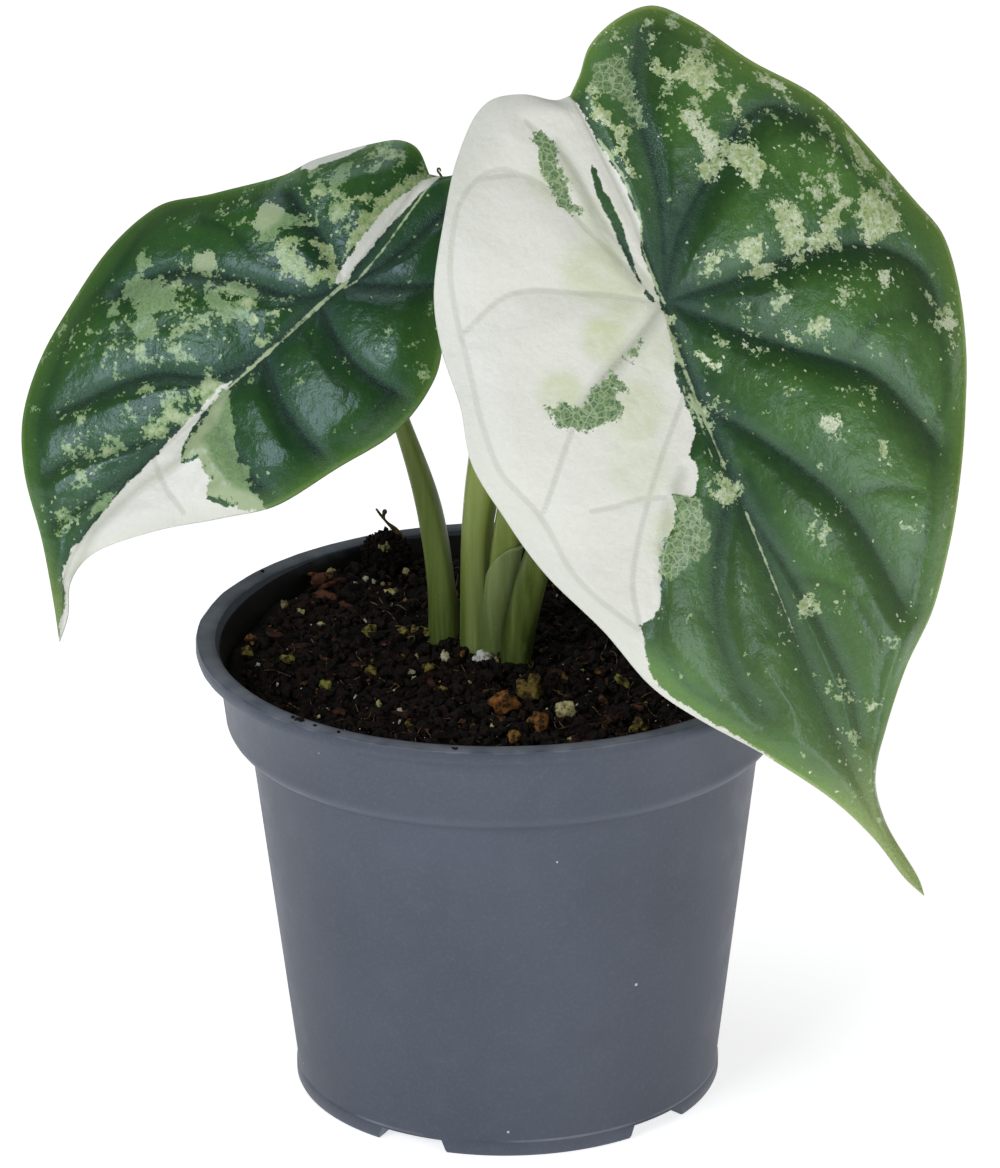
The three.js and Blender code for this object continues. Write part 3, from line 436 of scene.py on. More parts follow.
LEFT_LEAF = {
    "hub": (-30.5, 4, 163.6), "facing": -15, "tilt": 36, "roll": -43,
    "rise": 0.12, "fold": 0.006, "tip_droop": 0.0016, "lobe_droop": 0.0016, "waves": 4,
    "rows": 216, "columns": 66,
    "midrib": [
        (-26.5, -7), (-12.5, -3), (0, 0), (20, 0.5), (38, 0.5), (55, 0), (67, 1.5), (73, 3), (77, 5),
        (81.5, 9.5), (86, 13.5),
    ],
    "right_edge": [
        (-26.5, -7), (-27.4, -5.7), (-28.7, -4.3), (-31, -2.5), (-29.5, 3), (-25, 9), (-17, 14.5),
        (-9, 20.5), (-2, 26), (9, 28.5), (22, 27), (36.5, 24.5), (46.5, 18.5), (59, 11), (71, 5.5),
        (77, 6.5), (81.5, 11), (86, 13.5),
    ],
    "left_edge": [
        (-26.5, -7), (-28, -12.5), (-26.5, -16), (-22.5, -19), (-11.5, -24.5), (-5, -26), (7.5, -33.5),
        (16, -40), (20.5, -41), (28, -40.5), (41, -37), (53, -33), (63, -26), (70.5, -16), (76.5, -3),
        (82, 7), (86, 13.5),
    ],
    "veins": [
        [(0, 0), (-2.5, -8), (-3.5, -18), (-4, -22)],
        [(0, 0), (7, -3), (14.5, -14.5), (22.5, -25), (33.5, -30.5)],
        [(20, 0.5), (30, -3), (39, -12), (57.5, -20)],
        [(38, 0.5), (49.5, -3.5), (60, -10), (66, -12)],
        [(52.5, 0), (64, -2), (72.5, -4.5)],
        [(0, 0), (-6.5, 2), (-25.5, 1.5)],
        [(0, 0), (-9, 8.5), (-16, 14)],
        [(6, 0.5), (8, 13.5), (5, 26)],
        [(20.5, 0.5), (24, 13.5), (24, 25)],
        [(35, 0.5), (37, 15), (36.5, 23)],
        [(49, 0), (51, 6.5), (51.5, 13)],
    ],
    "fine_veins": [
        [(0.5, -25.5), (7, -30), (13.5, -35.5), (20, -38), (25, -36.5), (31.5, -34), (42.5, -33),
         (52.5, -27), (59, -23), (64.5, -17), (69, -9.5), (73, -3)],
        [(5.5, 24.5), (13.5, 25), (23, 24.5), (32, 23), (37.5, 21.5)],
        [(12, 1.5), (12.5, 12), (13, 19)],
        [(22.5, 2.5), (25.5, 10.5), (28, 18.5)],
        [(5, -8), (9, -16), (10, -24), (13, -30)],
        [(26, -12), (33, -18), (42, -24)],
    ],
    "white": [
        [(27.5, 0), (30.5, 0.5), (35, 0.5), (39, 1.5), (43.5, 3.5), (46, 6), (43.5, 7), (42, 7.5),
         (43, 10.5), (43, 13.5), (46.5, 14.5), (44.5, 18), (39.5, 20.5), (38.5, 27), (60, 18),
         (78, 12), (84, 16), (90, 16), (84, 11.5), (80, 8.5), (77, 4.5), (72.5, 2.5), (66.5, 1.5),
         (59.5, 1), (53.5, 1), (48.5, 0.5), (44, 0), (37.5, 0), (29.5, -0.5)],
        [(-28, -5.5), (-23.5, -6.2), (-15.5, -6.2), (-9, -4.7), (-2, -3), (0.8, -1), (-1.5, -0.3),
         (-8.5, -2), (-15.5, -3.5), (-28, -4.9)],
        [(-8, -24.5), (-10.5, -26), (-15.5, -25), (-21, -21.5), (-21.5, -19.5), (-18, -20),
         (-13.5, -22), (-10, -23)],
    ],
    "green_in_white": [],
    "sage": [
        [(1, -22.5), (-0.5, -20.5), (-2, -17), (-2.5, -15.5), (1, -15.5), (4, -16.5), (6, -16),
         (7.5, -18.5), (6, -19), (6, -21.5), (4, -22.5)],
        [(-12, -18.5), (-15.5, -19.5), (-17.5, -18.5), (-15.5, -17), (-13, -16), (-11.5, -16.5)],
        [(31.5, -31), (29, -30.5), (27.5, -26), (26, -21.5), (28, -19), (31.5, -20.5),
         (32.5, -17.5), (35.5, -21.5), (33, -24), (33.5, -29)],
        [(38, -28.5), (36, -28.5), (35.5, -26.5), (37, -25.5), (38.5, -27)],
        [(40, -26), (38, -25.5), (38, -23.5), (39.5, -23.5)],
        [(27, -33.5), (25, -33.5), (25.5, -29.5), (28, -31)],
        [(19, -24.5), (15, -23.5), (15, -21.5), (16.5, -20), (20, -22)],
        [(16, -14.5), (14.5, -12.5), (13, -8.5), (7.5, -3), (13, -6.5), (15, -10)],
        [(21.5, -18), (19.5, -14.5), (18, -11), (17.5, -7.5), (19.5, -6), (21, -9), (22, -13.5)],
        [(36.5, -23), (32.5, -20.5), (32, -17), (35, -16.5), (37, -19.5)],
        [(53, -7.5), (51.5, -6.5), (52, -4), (53.5, -3.5), (53.5, -6)],
        [(65.5, -0.5), (62.5, -1), (59, 0.5), (63.5, 1.5), (67.5, 1.5)],
        [(29.5, 1), (31, 1.5), (32, 5), (34, 9), (35.5, 9.5), (37, 13), (37, 16), (38.5, 17),
         (39, 23), (41.5, 22.5), (43.5, 19), (46, 14), (43.5, 12.5), (42.5, 7), (45.5, 5.5),
         (42, 3), (37, 1.5)],
    ],
    "cream": [
        [(4.5, -13.5), (2.5, -13), (1.5, -10), (2.5, -7), (2.5, -4), (5, -5.5), (7, -7.5),
         (6.5, -11.5)],
        [(-10, -13), (-12.5, -12), (-13, -11), (-11.5, -10), (-9.5, -10.5)],
        [(-26.5, -8), (-22, -8), (-16.5, -8.5), (-10, -7.5), (-5, -5.5), (0, -2), (-2, -3),
         (-9, -4.5), (-15.5, -6), (-26.5, -6)],
        [(-2.5, -12.5), (-2, -10), (-3, -8), (-1.5, -3.5), (0, -0.5), (0.5, -3), (-0.5, -6),
         (-1, -9.5)],
        [(15, -5.5), (12.5, -4.5), (12, -2.5), (14, -2.5)],
    ],
    # Specks and marbling: middle u and v, radius, share of the spot that they cover
    "specks": [
        (-5, -17, 7, 0.7), (-9, -20, 7, 0.55), (-22.5, -15, 8, 0.6), (-8, -11, 7, 0.7),
        (24.5, -10, 7, 0.6), (30, -13, 8, 0.75), (37, -18, 8, 0.6), (33, -2, 6, 0.7),
        (39, -3, 6, 0.85), (45, -3, 5, 0.6), (62, -8, 8, 0.55), (69, -3.5, 6, 0.55),
        (46, -27.5, 7, 0.3), (1, 15, 5, 0.35), (-2, 20, 5, 0.3), (-2, 24, 5, 0.25),
        (44, -9, 7, 0.45), (50, -31.5, 6, 0.3), (25, -22, 8, 0.6), (18, -11, 8, 0.85),
        (17, -4, 6, 0.6), (56, -14, 8, 0.45), (6, -27, 6, 0.3), (10, 10, 5, 0.2), (52, -6, 6, 0.5),
        (20, -20, 6, 0.5), (42, -20, 6, 0.45),
    ],
    "tints": [],
    "pale_lines": [
        (0.38, 0.32, [(-1, 0), (10, 0.2), (20, 0.5), (31, 0.4)]),
        (0.2, 0.2, [(-27, -4.6), (-25.5, -4.4), (-17.5, -2), (-10, 0), (-2.5, 1.3), (0, 0.8)]),
    ],
    # A painted shadow along the midrib on the white
    "vein_shadows": [(0.8, 0.5, [(45, 5), (55, 3), (66, 3), (76, 6)])],
    "pale": [
        [(28, 1), (32, 1), (37, 1), (42, 2), (47, 5.5), (42.5, 8), (44, 12.5), (47, 14), (45, 19),
         (41.5, 24), (38, 24), (39, 20), (41, 17), (41.5, 11.5), (40, 7), (40, 5), (36.5, 4.5)],
        [(6.5, -21.5), (3.5, -23), (2, -24), (-0.5, -23), (-1.5, -19), (2, -18), (5, -18.5)],
        [(18.5, -25), (15, -24), (14.5, -21.5), (16.5, -19.5), (20, -22)],
    ],
    "tail": (74, 90),
}


def hung_place(leaf):
    """Turns and moves a blade from its own plane to its place on the plant."""
    return (Matrix.Translation(leaf["hub"])
            @ Matrix.Rotation(math.radians(leaf["facing"]), 4, "Z")
            @ Matrix.Rotation(math.radians(90 - leaf["tilt"]), 4, "X")
            @ Matrix.Rotation(math.radians(leaf["roll"] - 90), 4, "Z"))


def blade_spots(leaf, spots):
    """The place, thickness and pattern values of spots on a blade. A spot is its share of the way
    from the notch between the lobes to the tip, and its share across, -1 left to 1 right."""
    run, across = spots[:, 0], spots[:, 1]
    share, rightward = np.abs(across), across >= 0
    root = along_line(smooth_line(leaf["midrib"]), run)
    rims = [along_line(smooth_line(leaf[edge]), run) for edge in ("left_edge", "right_edge")]
    rim = np.where(rightward[:, None], rims[1], rims[0])
    width = np.linalg.norm(rim - root, axis=1)
    place = root + share[:, None] * (rim - root)
    from_root, from_edge = width * share, width * (1 - share)
    midrib = np.array(leaf["midrib"])
    from_midrib = place[:, 1] - np.interp(place[:, 0], midrib[:, 0], midrib[:, 1])
    veins, fine_veins = ([smooth_line(line, 5) for line in leaf[key]]
                         for key in ("veins", "fine_veins"))
    main = distance_to_lines(place, veins)
    fine = distance_to_lines(place, fine_veins)

    u, side = place[:, 0], np.abs(from_midrib)
    droop = np.where(u > 0, leaf["tip_droop"], leaf["lobe_droop"])
    bend = leaf["rise"] * side - leaf["fold"] * side ** 2 - droop * u ** 2
    # Each pillow rises steeply on the side of a vein that is nearer to the tip, gently on the other
    round_off = BLADE["valley_round"]
    half_swing = (BLADE["base_side_spread"] - BLADE["tip_side_spread"]) / 2
    middle_spread = BLADE["tip_side_spread"] + half_swing
    fall = np.exp(-(np.hypot(from_root, round_off) - round_off) / middle_spread)
    # Painted shade: the green darkens near the hub and the veins, most on a vein's tipward side, partly
    # standing for the leaf's own darker vein zones
    shade = BLADE["hub_shade"] * np.exp(-from_root / BLADE["shade_spread"])
    # Where the painted bluish sheen goes: near the hub and on the gentle, base-ward side of each vein
    sheen_flank = BLADE["hub_flank"] * np.exp(-from_root / BLADE["flank_spread"])
    for line in veins:
        gap, leftward = gap_to_line(place, line)
        end_u, end_v = line[-1]
        tipward = leftward * (-1 if end_v > np.interp(end_u, midrib[:, 0], midrib[:, 1]) else 1)
        rounded = np.hypot(gap, round_off) - round_off
        fall = np.maximum(fall, np.exp(-rounded / (middle_spread - half_swing * tipward)))
        shading = BLADE["vein_shade"] + BLADE["shade_swing"] * tipward
        shade = np.maximum(shade, np.exp(-gap / BLADE["shade_spread"]) * shading)
        flanking = BLADE["vein_flank"] - BLADE["flank_swing"] * tipward
        sheen_flank = np.maximum(sheen_flank, np.exp(-gap / BLADE["flank_spread"]) * flanking)
    # The white tissue is thinner and lies flatter
    white = depth_inside(place, leaf["white"])
    flattening = 1 - BLADE["white_calm"] * ease(0.5 + white / BLADE["calm_fade"])
    pillow = BLADE["quilt"] * (1 - fall) * flattening
    from_fine = np.hypot(fine, round_off) - round_off
    crease = BLADE["fine_depth"] * np.exp(-from_fine / BLADE["fine_spread"])
    dimples = np.array([noise.noise(Vector((x, y, 0)) / BLADE["dimple_size"]) for x, y in place])
    calm = ease(from_edge / BLADE["quilt_fade"])
    curl = BLADE["edge_curl"] * np.maximum(0, 1 - from_edge / BLADE["curl_width"]) ** 2
    swing = ease(width / BLADE["wave_fade"]) * np.sin(
        2 * math.pi * leaf["waves"] * run + BLADE["wave_phase"] * ~rightward)
    pillowed = pillow - crease + BLADE["dimple"] * dimples * (1 - fall)
    height = bend + pillowed * calm - curl + BLADE["wave_height"] * swing * share ** 3
    slimming = 1 - BLADE["rib_slimming"] * np.abs(u / midrib[-1, 0])
    rib = BLADE["rib_height"] * slimming * np.exp(-(from_midrib / BLADE["rib_spread"]) ** 2)
    rib = np.maximum(rib, BLADE["side_rib_height"] * np.exp(-(main / BLADE["side_rib_spread"]) ** 2))
    bevel = ease(from_edge / BLADE["edge_bevel"])
    thickness = BLADE["edge_thickness"] * (1 - bevel) + (BLADE["thickness"] + rib) * bevel

    speck, tint = np.zeros(len(u)), np.zeros(len(u))
    for field, spots_of_kind in ((speck, leaf["specks"]), (tint, leaf["tints"])):
        for middle_u, middle_v, radius, strength in spots_of_kind:
            away = np.hypot(u - middle_u, place[:, 1] - middle_v) / radius
            np.maximum(field, strength * ease(BLADE["spot_slope"] * (1 - away)), out=field)
    pale, shade_grey = (np.max([line_depth(place, *line) for line in leaf[key]], axis=0)
                   for key in ("pale_lines", "vein_shadows"))
    green = depth_inside(place, leaf["green_in_white"])
    cream, sage, palest = (depth_inside(place, leaf[key]) for key in ("cream", "sage", "pale"))
    tail_start, tail_end = leaf["tail"]
    tail = ease((u - tail_start) / (tail_end - tail_start))
    return {
        "place": np.column_stack([place, height]), "thickness": thickness, "sheen_flank": sheen_flank,
        "patches": np.column_stack([np.minimum(white, -green), cream, sage]),
        "veins": np.column_stack([np.minimum(main, np.abs(from_midrib)), fine, from_edge]),
        "tones": np.column_stack([1 - shade, speck, tint]),
        "marks": np.column_stack([pale, shade_grey, np.hypot(u, place[:, 1])]),
        "sides": np.column_stack([np.zeros(len(u)), palest, tail]),
    }


# What the blade's skin reads at each vertex, in threes. Depths and distances are in mm.
# patches: depth inside the white, the cream and the sage parts
# veins: distance from the main veins, the fine veins and the edge
# tones: how well lit its spot on the pillow is, share of specks, strength of the tint
# marks: depth inside the pale lines and the painted vein shadows, distance from the hub
# sides: 1 on the lower face, depth inside the palest parts, share of the pale drip tip
VECTOR_LAYERS = ("patches", "veins", "tones", "marks", "sides")
# The sheen flank is how near the midrib or the gentle side of a vein is, 0 to 1; the skin paints a
# bluish sheen there
FLOAT_LAYERS = ("sheen_flank", "thickness")


def make_blade(leaf, name, material, replaced):
    """A closed blade: a grid laid out over the outline, extruded down to its lower face."""
    bm = bmesh.new()
    bmesh.ops.create_grid(bm, x_segments=2 * leaf["columns"], y_segments=leaf["rows"], size=1)
    spots = np.array([(vertex.co.y / 2 + 0.5, vertex.co.x) for vertex in bm.verts])
    values = blade_spots(leaf, spots)
    layers = {key: bm.verts.layers.float_vector.new(key) for key in VECTOR_LAYERS}
    layers.update({key: bm.verts.layers.float.new(key) for key in FLOAT_LAYERS})
    for row, vertex in enumerate(bm.verts):
        vertex.co = values["place"][row]
        for key, layer in layers.items():
            vertex[layer] = values[key][row]
    bmesh.ops.remove_doubles(bm, verts=bm.verts[:], dist=0.002)
    bmesh.ops.recalc_face_normals(bm, faces=bm.faces[:])
    if sum(face.normal.z for face in bm.faces) < 0:
        bmesh.ops.reverse_faces(bm, faces=bm.faces[:])
    lower = bmesh.ops.extrude_face_region(bm, geom=bm.faces[:], use_keep_orig=True)
    for vertex in lower["geom"]:
        if isinstance(vertex, bmesh.types.BMVert):
            vertex.co.z -= vertex[layers["thickness"]]
            vertex[layers["sides"]].x = 1
    bmesh.ops.recalc_face_normals(bm, faces=bm.faces[:])
    sharp = math.radians(BLADE["rim_angle"])
    rim = [edge for edge in bm.edges if len(edge.link_faces) == 2 and edge.calc_face_angle(0) > sharp]
    bmesh.ops.bevel(bm, geom=rim, offset=BLADE["rim_bevel"], segments=2, profile=0.5, affect="EDGES",
                    clamp_overlap=True, material=-1)
    bmesh.ops.transform(bm, matrix=Matrix.Scale(MM, 4) @ hung_place(leaf), verts=bm.verts[:])
    finish_mesh(bm, name, material, replaced)


# The living blade of a young alocasia leaf: a waxy, glossy skin over green tissue, parts of which
# have lost their green cell by cell. The skin takes soft highlights; the white parts are duller.
# Valley and crease greens stand partly for painted shade; the flank colour is a painted bluish sheen,
# the tip colour a painted haze, and the grey on the white painted shade
LEAF_COLOURS = {
    "crease": "#15291C", "valley": "#1C3A20", "slope": "#27471C", "crown": "#507A36",
    "sheen_flank": "#3B5547", "margin": "#6E8F3E", "edge": "#9FB46E", "painted_haze": "#75905F",
    "tail": "#9DAE6C", "white": "#E6E6DD", "tint": "#C3D09A", "shade_grey": "#A9AF98",
    "vein_line": "#9DA28E", "cream": "#D5DDC2", "yellow": "#A6B77C", "between": "#7C9A5E",
    "pale_line": "#B2C59A", "sage": "#6F8C5D", "dark_sage": "#4F6E49", "pale_sage": "#A5B48D",
    "net": "#A6B78F", "under_green": "#7B9562", "under_white": "#D9DCCB", "under_vein": "#A9B886",
}
DEEP_GREEN_COLOURS = {
    **LEAF_COLOURS, "crease": "#102318", "valley": "#16311C", "slope": "#1F4219",
    "crown": "#355D23", "margin": "#4F7530", "edge": "#6C8B47", "sheen_flank": "#294A3A",
    "cream": "#B4C398", "yellow": "#9CAE74", "between": "#6F9058", "sage": "#7F9D6C",
    "painted_haze": "#4E7143",
}
# Sizes of the pattern in mm: how far cells are pushed and over what distance, groups of cells,
# single cells, marbling, nets of fine veins, clouds of tone and skin pores, and the wrinkles
# across the sunken veins
PUSH = {"reach": 0.55, "size": 0.9}
CELL = {"group": 1.15, "cell": 0.5}
MARBLING = 4.2
NET = {"wide": 1.6, "fine": 0.7}
CLOUD = {"pore": 0.3, "small": 1.3, "middle": 4.0, "large": 13.0}
WRINKLE = {"spacing": 0.9, "reach": 2.6}


def leaf_skin(name, colours, net_strength):
    """The skin of one blade. The net strength says how clearly the finest veins show as pale lines
    in the sage green parts."""
    material, add = new_material(name)
    paint = {key: linear(colour) for key, colour in colours.items()}
    place = add("TexCoord", output="Object")
    fields = {key: add("SeparateXYZ", (
        add("Attribute", output="Vector", attribute_name=key),)).node.outputs for key in VECTOR_LAYERS}
    white_depth, cream_depth, sage_depth = fields["patches"]
    main_vein, fine_vein, from_edge = fields["veins"]
    lit, speck, tint = fields["tones"]
    pale_line, shade_grey, from_hub = fields["marks"]
    underside, pale_depth, tail = fields["sides"]
    sheen_flank = add("Attribute", output="Fac", attribute_name="sheen_flank")

    # Ragged cells: their places are pushed about a little, so that none has straight sides
    push = add("TexNoise", {"Vector": place, "Scale": 1 / (PUSH["size"] * MM), "Detail": 2.0}, "Color")
    pushed = add("VectorMath", (push, (PUSH["reach"] * MM,) * 3, place), operation="MULTIPLY_ADD")
    groups, cells = (add("SeparateColor", (add(
        "TexVoronoi", {"Vector": pushed, "Scale": 1 / (CELL[key] * MM)}, "Color"),)).node.outputs
        for key in ("group", "cell"))
    wide_net, fine_net = (add("TexVoronoi", {"Vector": pushed, "Scale": 1 / (NET[key] * MM)},
                              "Distance", feature="DISTANCE_TO_EDGE") for key in ("wide", "fine"))
    wide_line = add("MapRange", (wide_net, 0.02, 0.1, 1.0, 0.0))
    fine_line = add("MapRange", (fine_net, 0.03, 0.14, 1.0, 0.0))
    cloud = {key: add("TexNoise", {"Vector": place, "Scale": 1 / (size * MM), "Detail": 3.0})
             for key, size in CLOUD.items()}
    marbling = add("TexNoise", {
        "Vector": pushed, "Scale": 1 / (MARBLING * MM), "Detail": 6.0, "Roughness": 0.68})
    ragged = add("Math", (cloud["middle"], 2.6, -7.3), operation="MULTIPLY_ADD")
    ragged = add("Math", (marbling, 10.0, ragged), operation="MULTIPLY_ADD")
    ragged = add("Math", (groups[0], 1.1, ragged), operation="MULTIPLY_ADD")
    ragged = add("Math", (cells[0], 0.9, ragged), operation="MULTIPLY_ADD")

    # Where each kind of tissue shows: its depth, pushed in and out by its own share of raggedness
    masks = {}
    for key, depth, raggedness in (("white", white_depth, 0.22), ("cream", cream_depth, 0.85),
                                   ("sage", sage_depth, 0.6), ("pale", pale_line, 0.12)):
        reach = add("Math", (ragged, raggedness, depth), operation="MULTIPLY_ADD")
        masks[key] = add("MapRange", (reach, -0.1, 0.1))
    # Specks: marbling and single pale cells, thickest in the speck spots and round the cream parts
    fringe = add("MapRange", (cream_depth, -3.2, -0.3, 0.0, 0.5))
    density = add("Math", (speck, fringe), operation="MAXIMUM")
    spread = add("Math", (cloud["middle"], 1.8, 0.1), operation="MULTIPLY_ADD")
    density = add("Math", (density, spread), operation="MULTIPLY")
    marbling = add("Math", (cells[1], 0.08, marbling), operation="MULTIPLY_ADD")
    marbling = add("Math", (density, 0.22, marbling), operation="MULTIPLY_ADD")
    marbled = add("MapRange", (marbling, 0.685, 0.7))
    marble_tone = add("MapRange", (marbling, 0.68, 0.84))
    single = add("Math", (add("Math", (density, 0.06, 0.001), operation="MULTIPLY_ADD"), cells[2]),
                 operation="GREATER_THAN")
    paleness = add("MapRange", (groups[2], 0.0, 1.0, 0.3, 1.0))
    single = add("Math", (single, paleness), operation="MULTIPLY")

    # Fine wrinkles that run across the sunken veins
    waving = add("Math", (marbling, 9.0, add(
        "Math", (from_hub, 1 / WRINKLE["spacing"]), operation="MULTIPLY")), operation="MULTIPLY_ADD")
    wrinkle = add("Math", (add("Math", (waving, 2 * math.pi), operation="MULTIPLY"),), operation="SINE")
    near_vein = add("MapRange", (main_vein, 0.2, WRINKLE["reach"], 1.0, 0.0))
    in_green = add("Math", (near_vein, masks["white"]), operation="SUBTRACT", use_clamp=True)
    wrinkle = add("Math", (wrinkle, in_green), operation="MULTIPLY")

    # Green: darker in the valleys and creases, partly the leaf's own darker vein zones and partly
    # painted shade; bluish on the flanks from a painted sheen and hazier towards the tip from a painted
    # haze; yellower on the crowns and paler at the margin
    level = add("Math", (cloud["large"], 0.9, add("Math", (lit, 0.5), operation="SUBTRACT")),
                operation="MULTIPLY_ADD")
    level = add("Math", (cloud["small"], 0.22, level), operation="MULTIPLY_ADD")
    green = paint["valley"]
    low_fine = add("MapRange", (fine_vein, 0.0, 1.6, 0.6, 0.0))
    edge_band = add("MapRange", (from_edge, 0.3, 5.0, 0.8, 0.0))
    edge_line = add("MapRange", (from_edge, 0.25, 1.1, 0.8, 0.0))
    for mask, coat in (
            (add("MapRange", (level, 0.15, 0.62)), paint["slope"]),
            (add("MapRange", (level, 0.6, 1.12)), paint["crown"]),
            # painted bluish sheen on the flanks
            (add("Math", (sheen_flank, 0.8), operation="MULTIPLY"), paint["sheen_flank"]),
            (low_fine, paint["valley"]),
            # painted shade in the crease along each vein, partly the vein's own darker colour
            (add("MapRange", (main_vein, 0.15, 0.8, 0.6, 0.0)), paint["crease"]),
            # painted haze of reflected light, growing towards the tip
            (add("MapRange", (from_hub, 35.0, 100.0, 0.0, 0.55)), paint["painted_haze"]),
            (edge_band, paint["margin"]), (edge_line, paint["edge"]), (tail, paint["tail"]),
            (add("Math", (groups[2], 0.1), operation="MULTIPLY"), paint["crown"]),
            (add("Math", (fine_line, 0.14), operation="MULTIPLY"), paint["valley"]),
            (single, paint["cream"])):
        green = add("Mix", {0: mask, 6: green, 7: coat}, 2, data_type="RGBA")

    marble = add("Mix", {0: marble_tone, 6: paint["between"], 7: paint["cream"]}, 2, data_type="RGBA")
    green = add("Mix", {0: marbled, 6: green, 7: marble}, 2, data_type="RGBA")

    # Cream, sage and white tissue has lost its green in some layers, in one layer, or in all of them
    bright = add("MapRange", (pale_depth, -0.8, 0.5))
    tone = add("Math", (cloud["small"], 2.6, -1.15), operation="MULTIPLY_ADD")
    tone = add("Math", (groups[2], 0.5, tone), operation="MULTIPLY_ADD")
    tone = add("Math", (tone, bright), operation="ADD")
    cream = paint["yellow"]
    for mask, coat in (
            (add("MapRange", (tone, 0.0, 1.0)), paint["cream"]),
            (add("Math", (fine_line, 0.4), operation="MULTIPLY"), paint["between"]),
            (add("MapRange", (cells[2], 0.84, 0.86, 0.0, 0.7)), paint["between"])):
        cream = add("Mix", {0: mask, 6: cream, 7: coat}, 2, data_type="RGBA")
    sage = paint["sage"]
    for mask, coat in (
            (add("MapRange", (cloud["small"], 0.35, 0.65, 0.0, 0.4)), paint["between"]),
            (add("MapRange", (cells[1], 0.35, 0.75, 0.0, max(net_strength, 0.3))), paint["dark_sage"]),
            (add("Math", (bright, 0.9), operation="MULTIPLY"), paint["pale_sage"]),
            (add("Math", (fine_line, 0.35 * net_strength), operation="MULTIPLY"), paint["net"]),
            (add("Math", (wide_line, 0.8 * net_strength), operation="MULTIPLY"), paint["net"])):
        sage = add("Mix", {0: mask, 6: sage, 7: coat}, 2, data_type="RGBA")
    # Painted shade on the white: grey near the edge, where the margin turns away, and soft grey painted
    # shadows along some veins; the same grey tints the net lines faintly
    white = paint["white"]
    tinted = add("MapRange", (cloud["middle"], 0.3, 0.6, 0.5, 1.0))
    thin_lines = add("Math", (add("MapRange", (main_vein, 0.32, 0.75, 0.3, 0.0)),
                              add("MapRange", (fine_vein, 0.32, 0.7, 0.26, 0.0))), operation="MAXIMUM")
    for mask, coat in (
            (add("Math", (tint, tinted), operation="MULTIPLY"), paint["tint"]),
            (add("MapRange", (from_edge, 1.0, 8.0, 0.2, 0.0)), paint["shade_grey"]),
            (add("MapRange", (shade_grey, -1.2, 0.8, 0.0, 0.55)), paint["shade_grey"]),
            (thin_lines, paint["vein_line"]),
            (add("Math", (wide_line, 0.05), operation="MULTIPLY"), paint["shade_grey"])):
        white = add("Mix", {0: mask, 6: white, 7: coat}, 2, data_type="RGBA")

    face = green
    for mask, coat in ((masks["pale"], paint["pale_line"]), (masks["cream"], cream),
                       (masks["white"], white), (masks["sage"], sage)):
        face = add("Mix", {0: mask, 6: face, 7: coat}, 2, data_type="RGBA")

    # The lower face: greyer, with raised pale veins, and the patches only faintly
    raised = add("Math", (add("MapRange", (main_vein, 0.4, 1.3, 0.8, 0.0)),
                          add("MapRange", (fine_vein, 0.2, 0.8, 0.4, 0.0))), operation="MAXIMUM")
    back = paint["under_green"]
    for mask, coat in ((masks["white"], paint["under_white"]),
                       (add("Math", (masks["cream"], 0.4), operation="MULTIPLY"), paint["under_white"]),
                       (add("Math", (marbled, 0.25), operation="MULTIPLY"), paint["under_white"]),
                       (add("Math", (wide_line, 0.25), operation="MULTIPLY"), paint["under_white"]),
                       (raised, paint["under_vein"])):
        back = add("Mix", {0: mask, 6: back, 7: coat}, 2, data_type="RGBA")
    colour = add("Mix", {0: underside, 6: face, 7: back}, 2, data_type="RGBA")

    # Gloss and relief of the skin: the white parts and the lower face are duller
    sheen = add("MapRange", (cloud["small"], 0.3, 0.7, 0.19, 0.28))
    dull = add("Math", (masks["white"], underside), operation="MAXIMUM")
    roughness = add("Math", (dull, 0.18, sheen), operation="MULTIPLY_ADD")
    relief = add("Math", (cloud["middle"], 2.4), operation="MULTIPLY")
    for part, height in (
            (cloud["pore"], 0.12), (cloud["small"], 0.4), (wrinkle, 0.26), (fine_line, -0.04)):
        relief = add("Math", (part, height, relief), operation="MULTIPLY_ADD")
    bump = add("Bump", {"Strength": 0.6, "Distance": 0.28 * MM, "Height": relief})
    skin = add("BsdfPrincipled", {
        "Base Color": colour, "Roughness": roughness, "IOR": 1.45, "Normal": bump,
        "Specular Tint": linear("#D8EAFF")})
    add("OutputMaterial", (skin,))
    return material


# Stalks: each row is a point of the centre line and the radius there. The flutes are the faint
# ridges along them: how many coarse and fine ones go round, the height of the fine ones as a share
# of the coarse ones', and how far they turn from ring to ring.
FLUTES = {"coarse": 5, "fine": 11, "fine_share": 0.5, "turn": 0.02}
STALK_RINGS = 90
STALK_END_RADIUS = 1.5
# How deep behind its blade's hub a stalk ends, in mm
HUB_DEPTH = 2.2
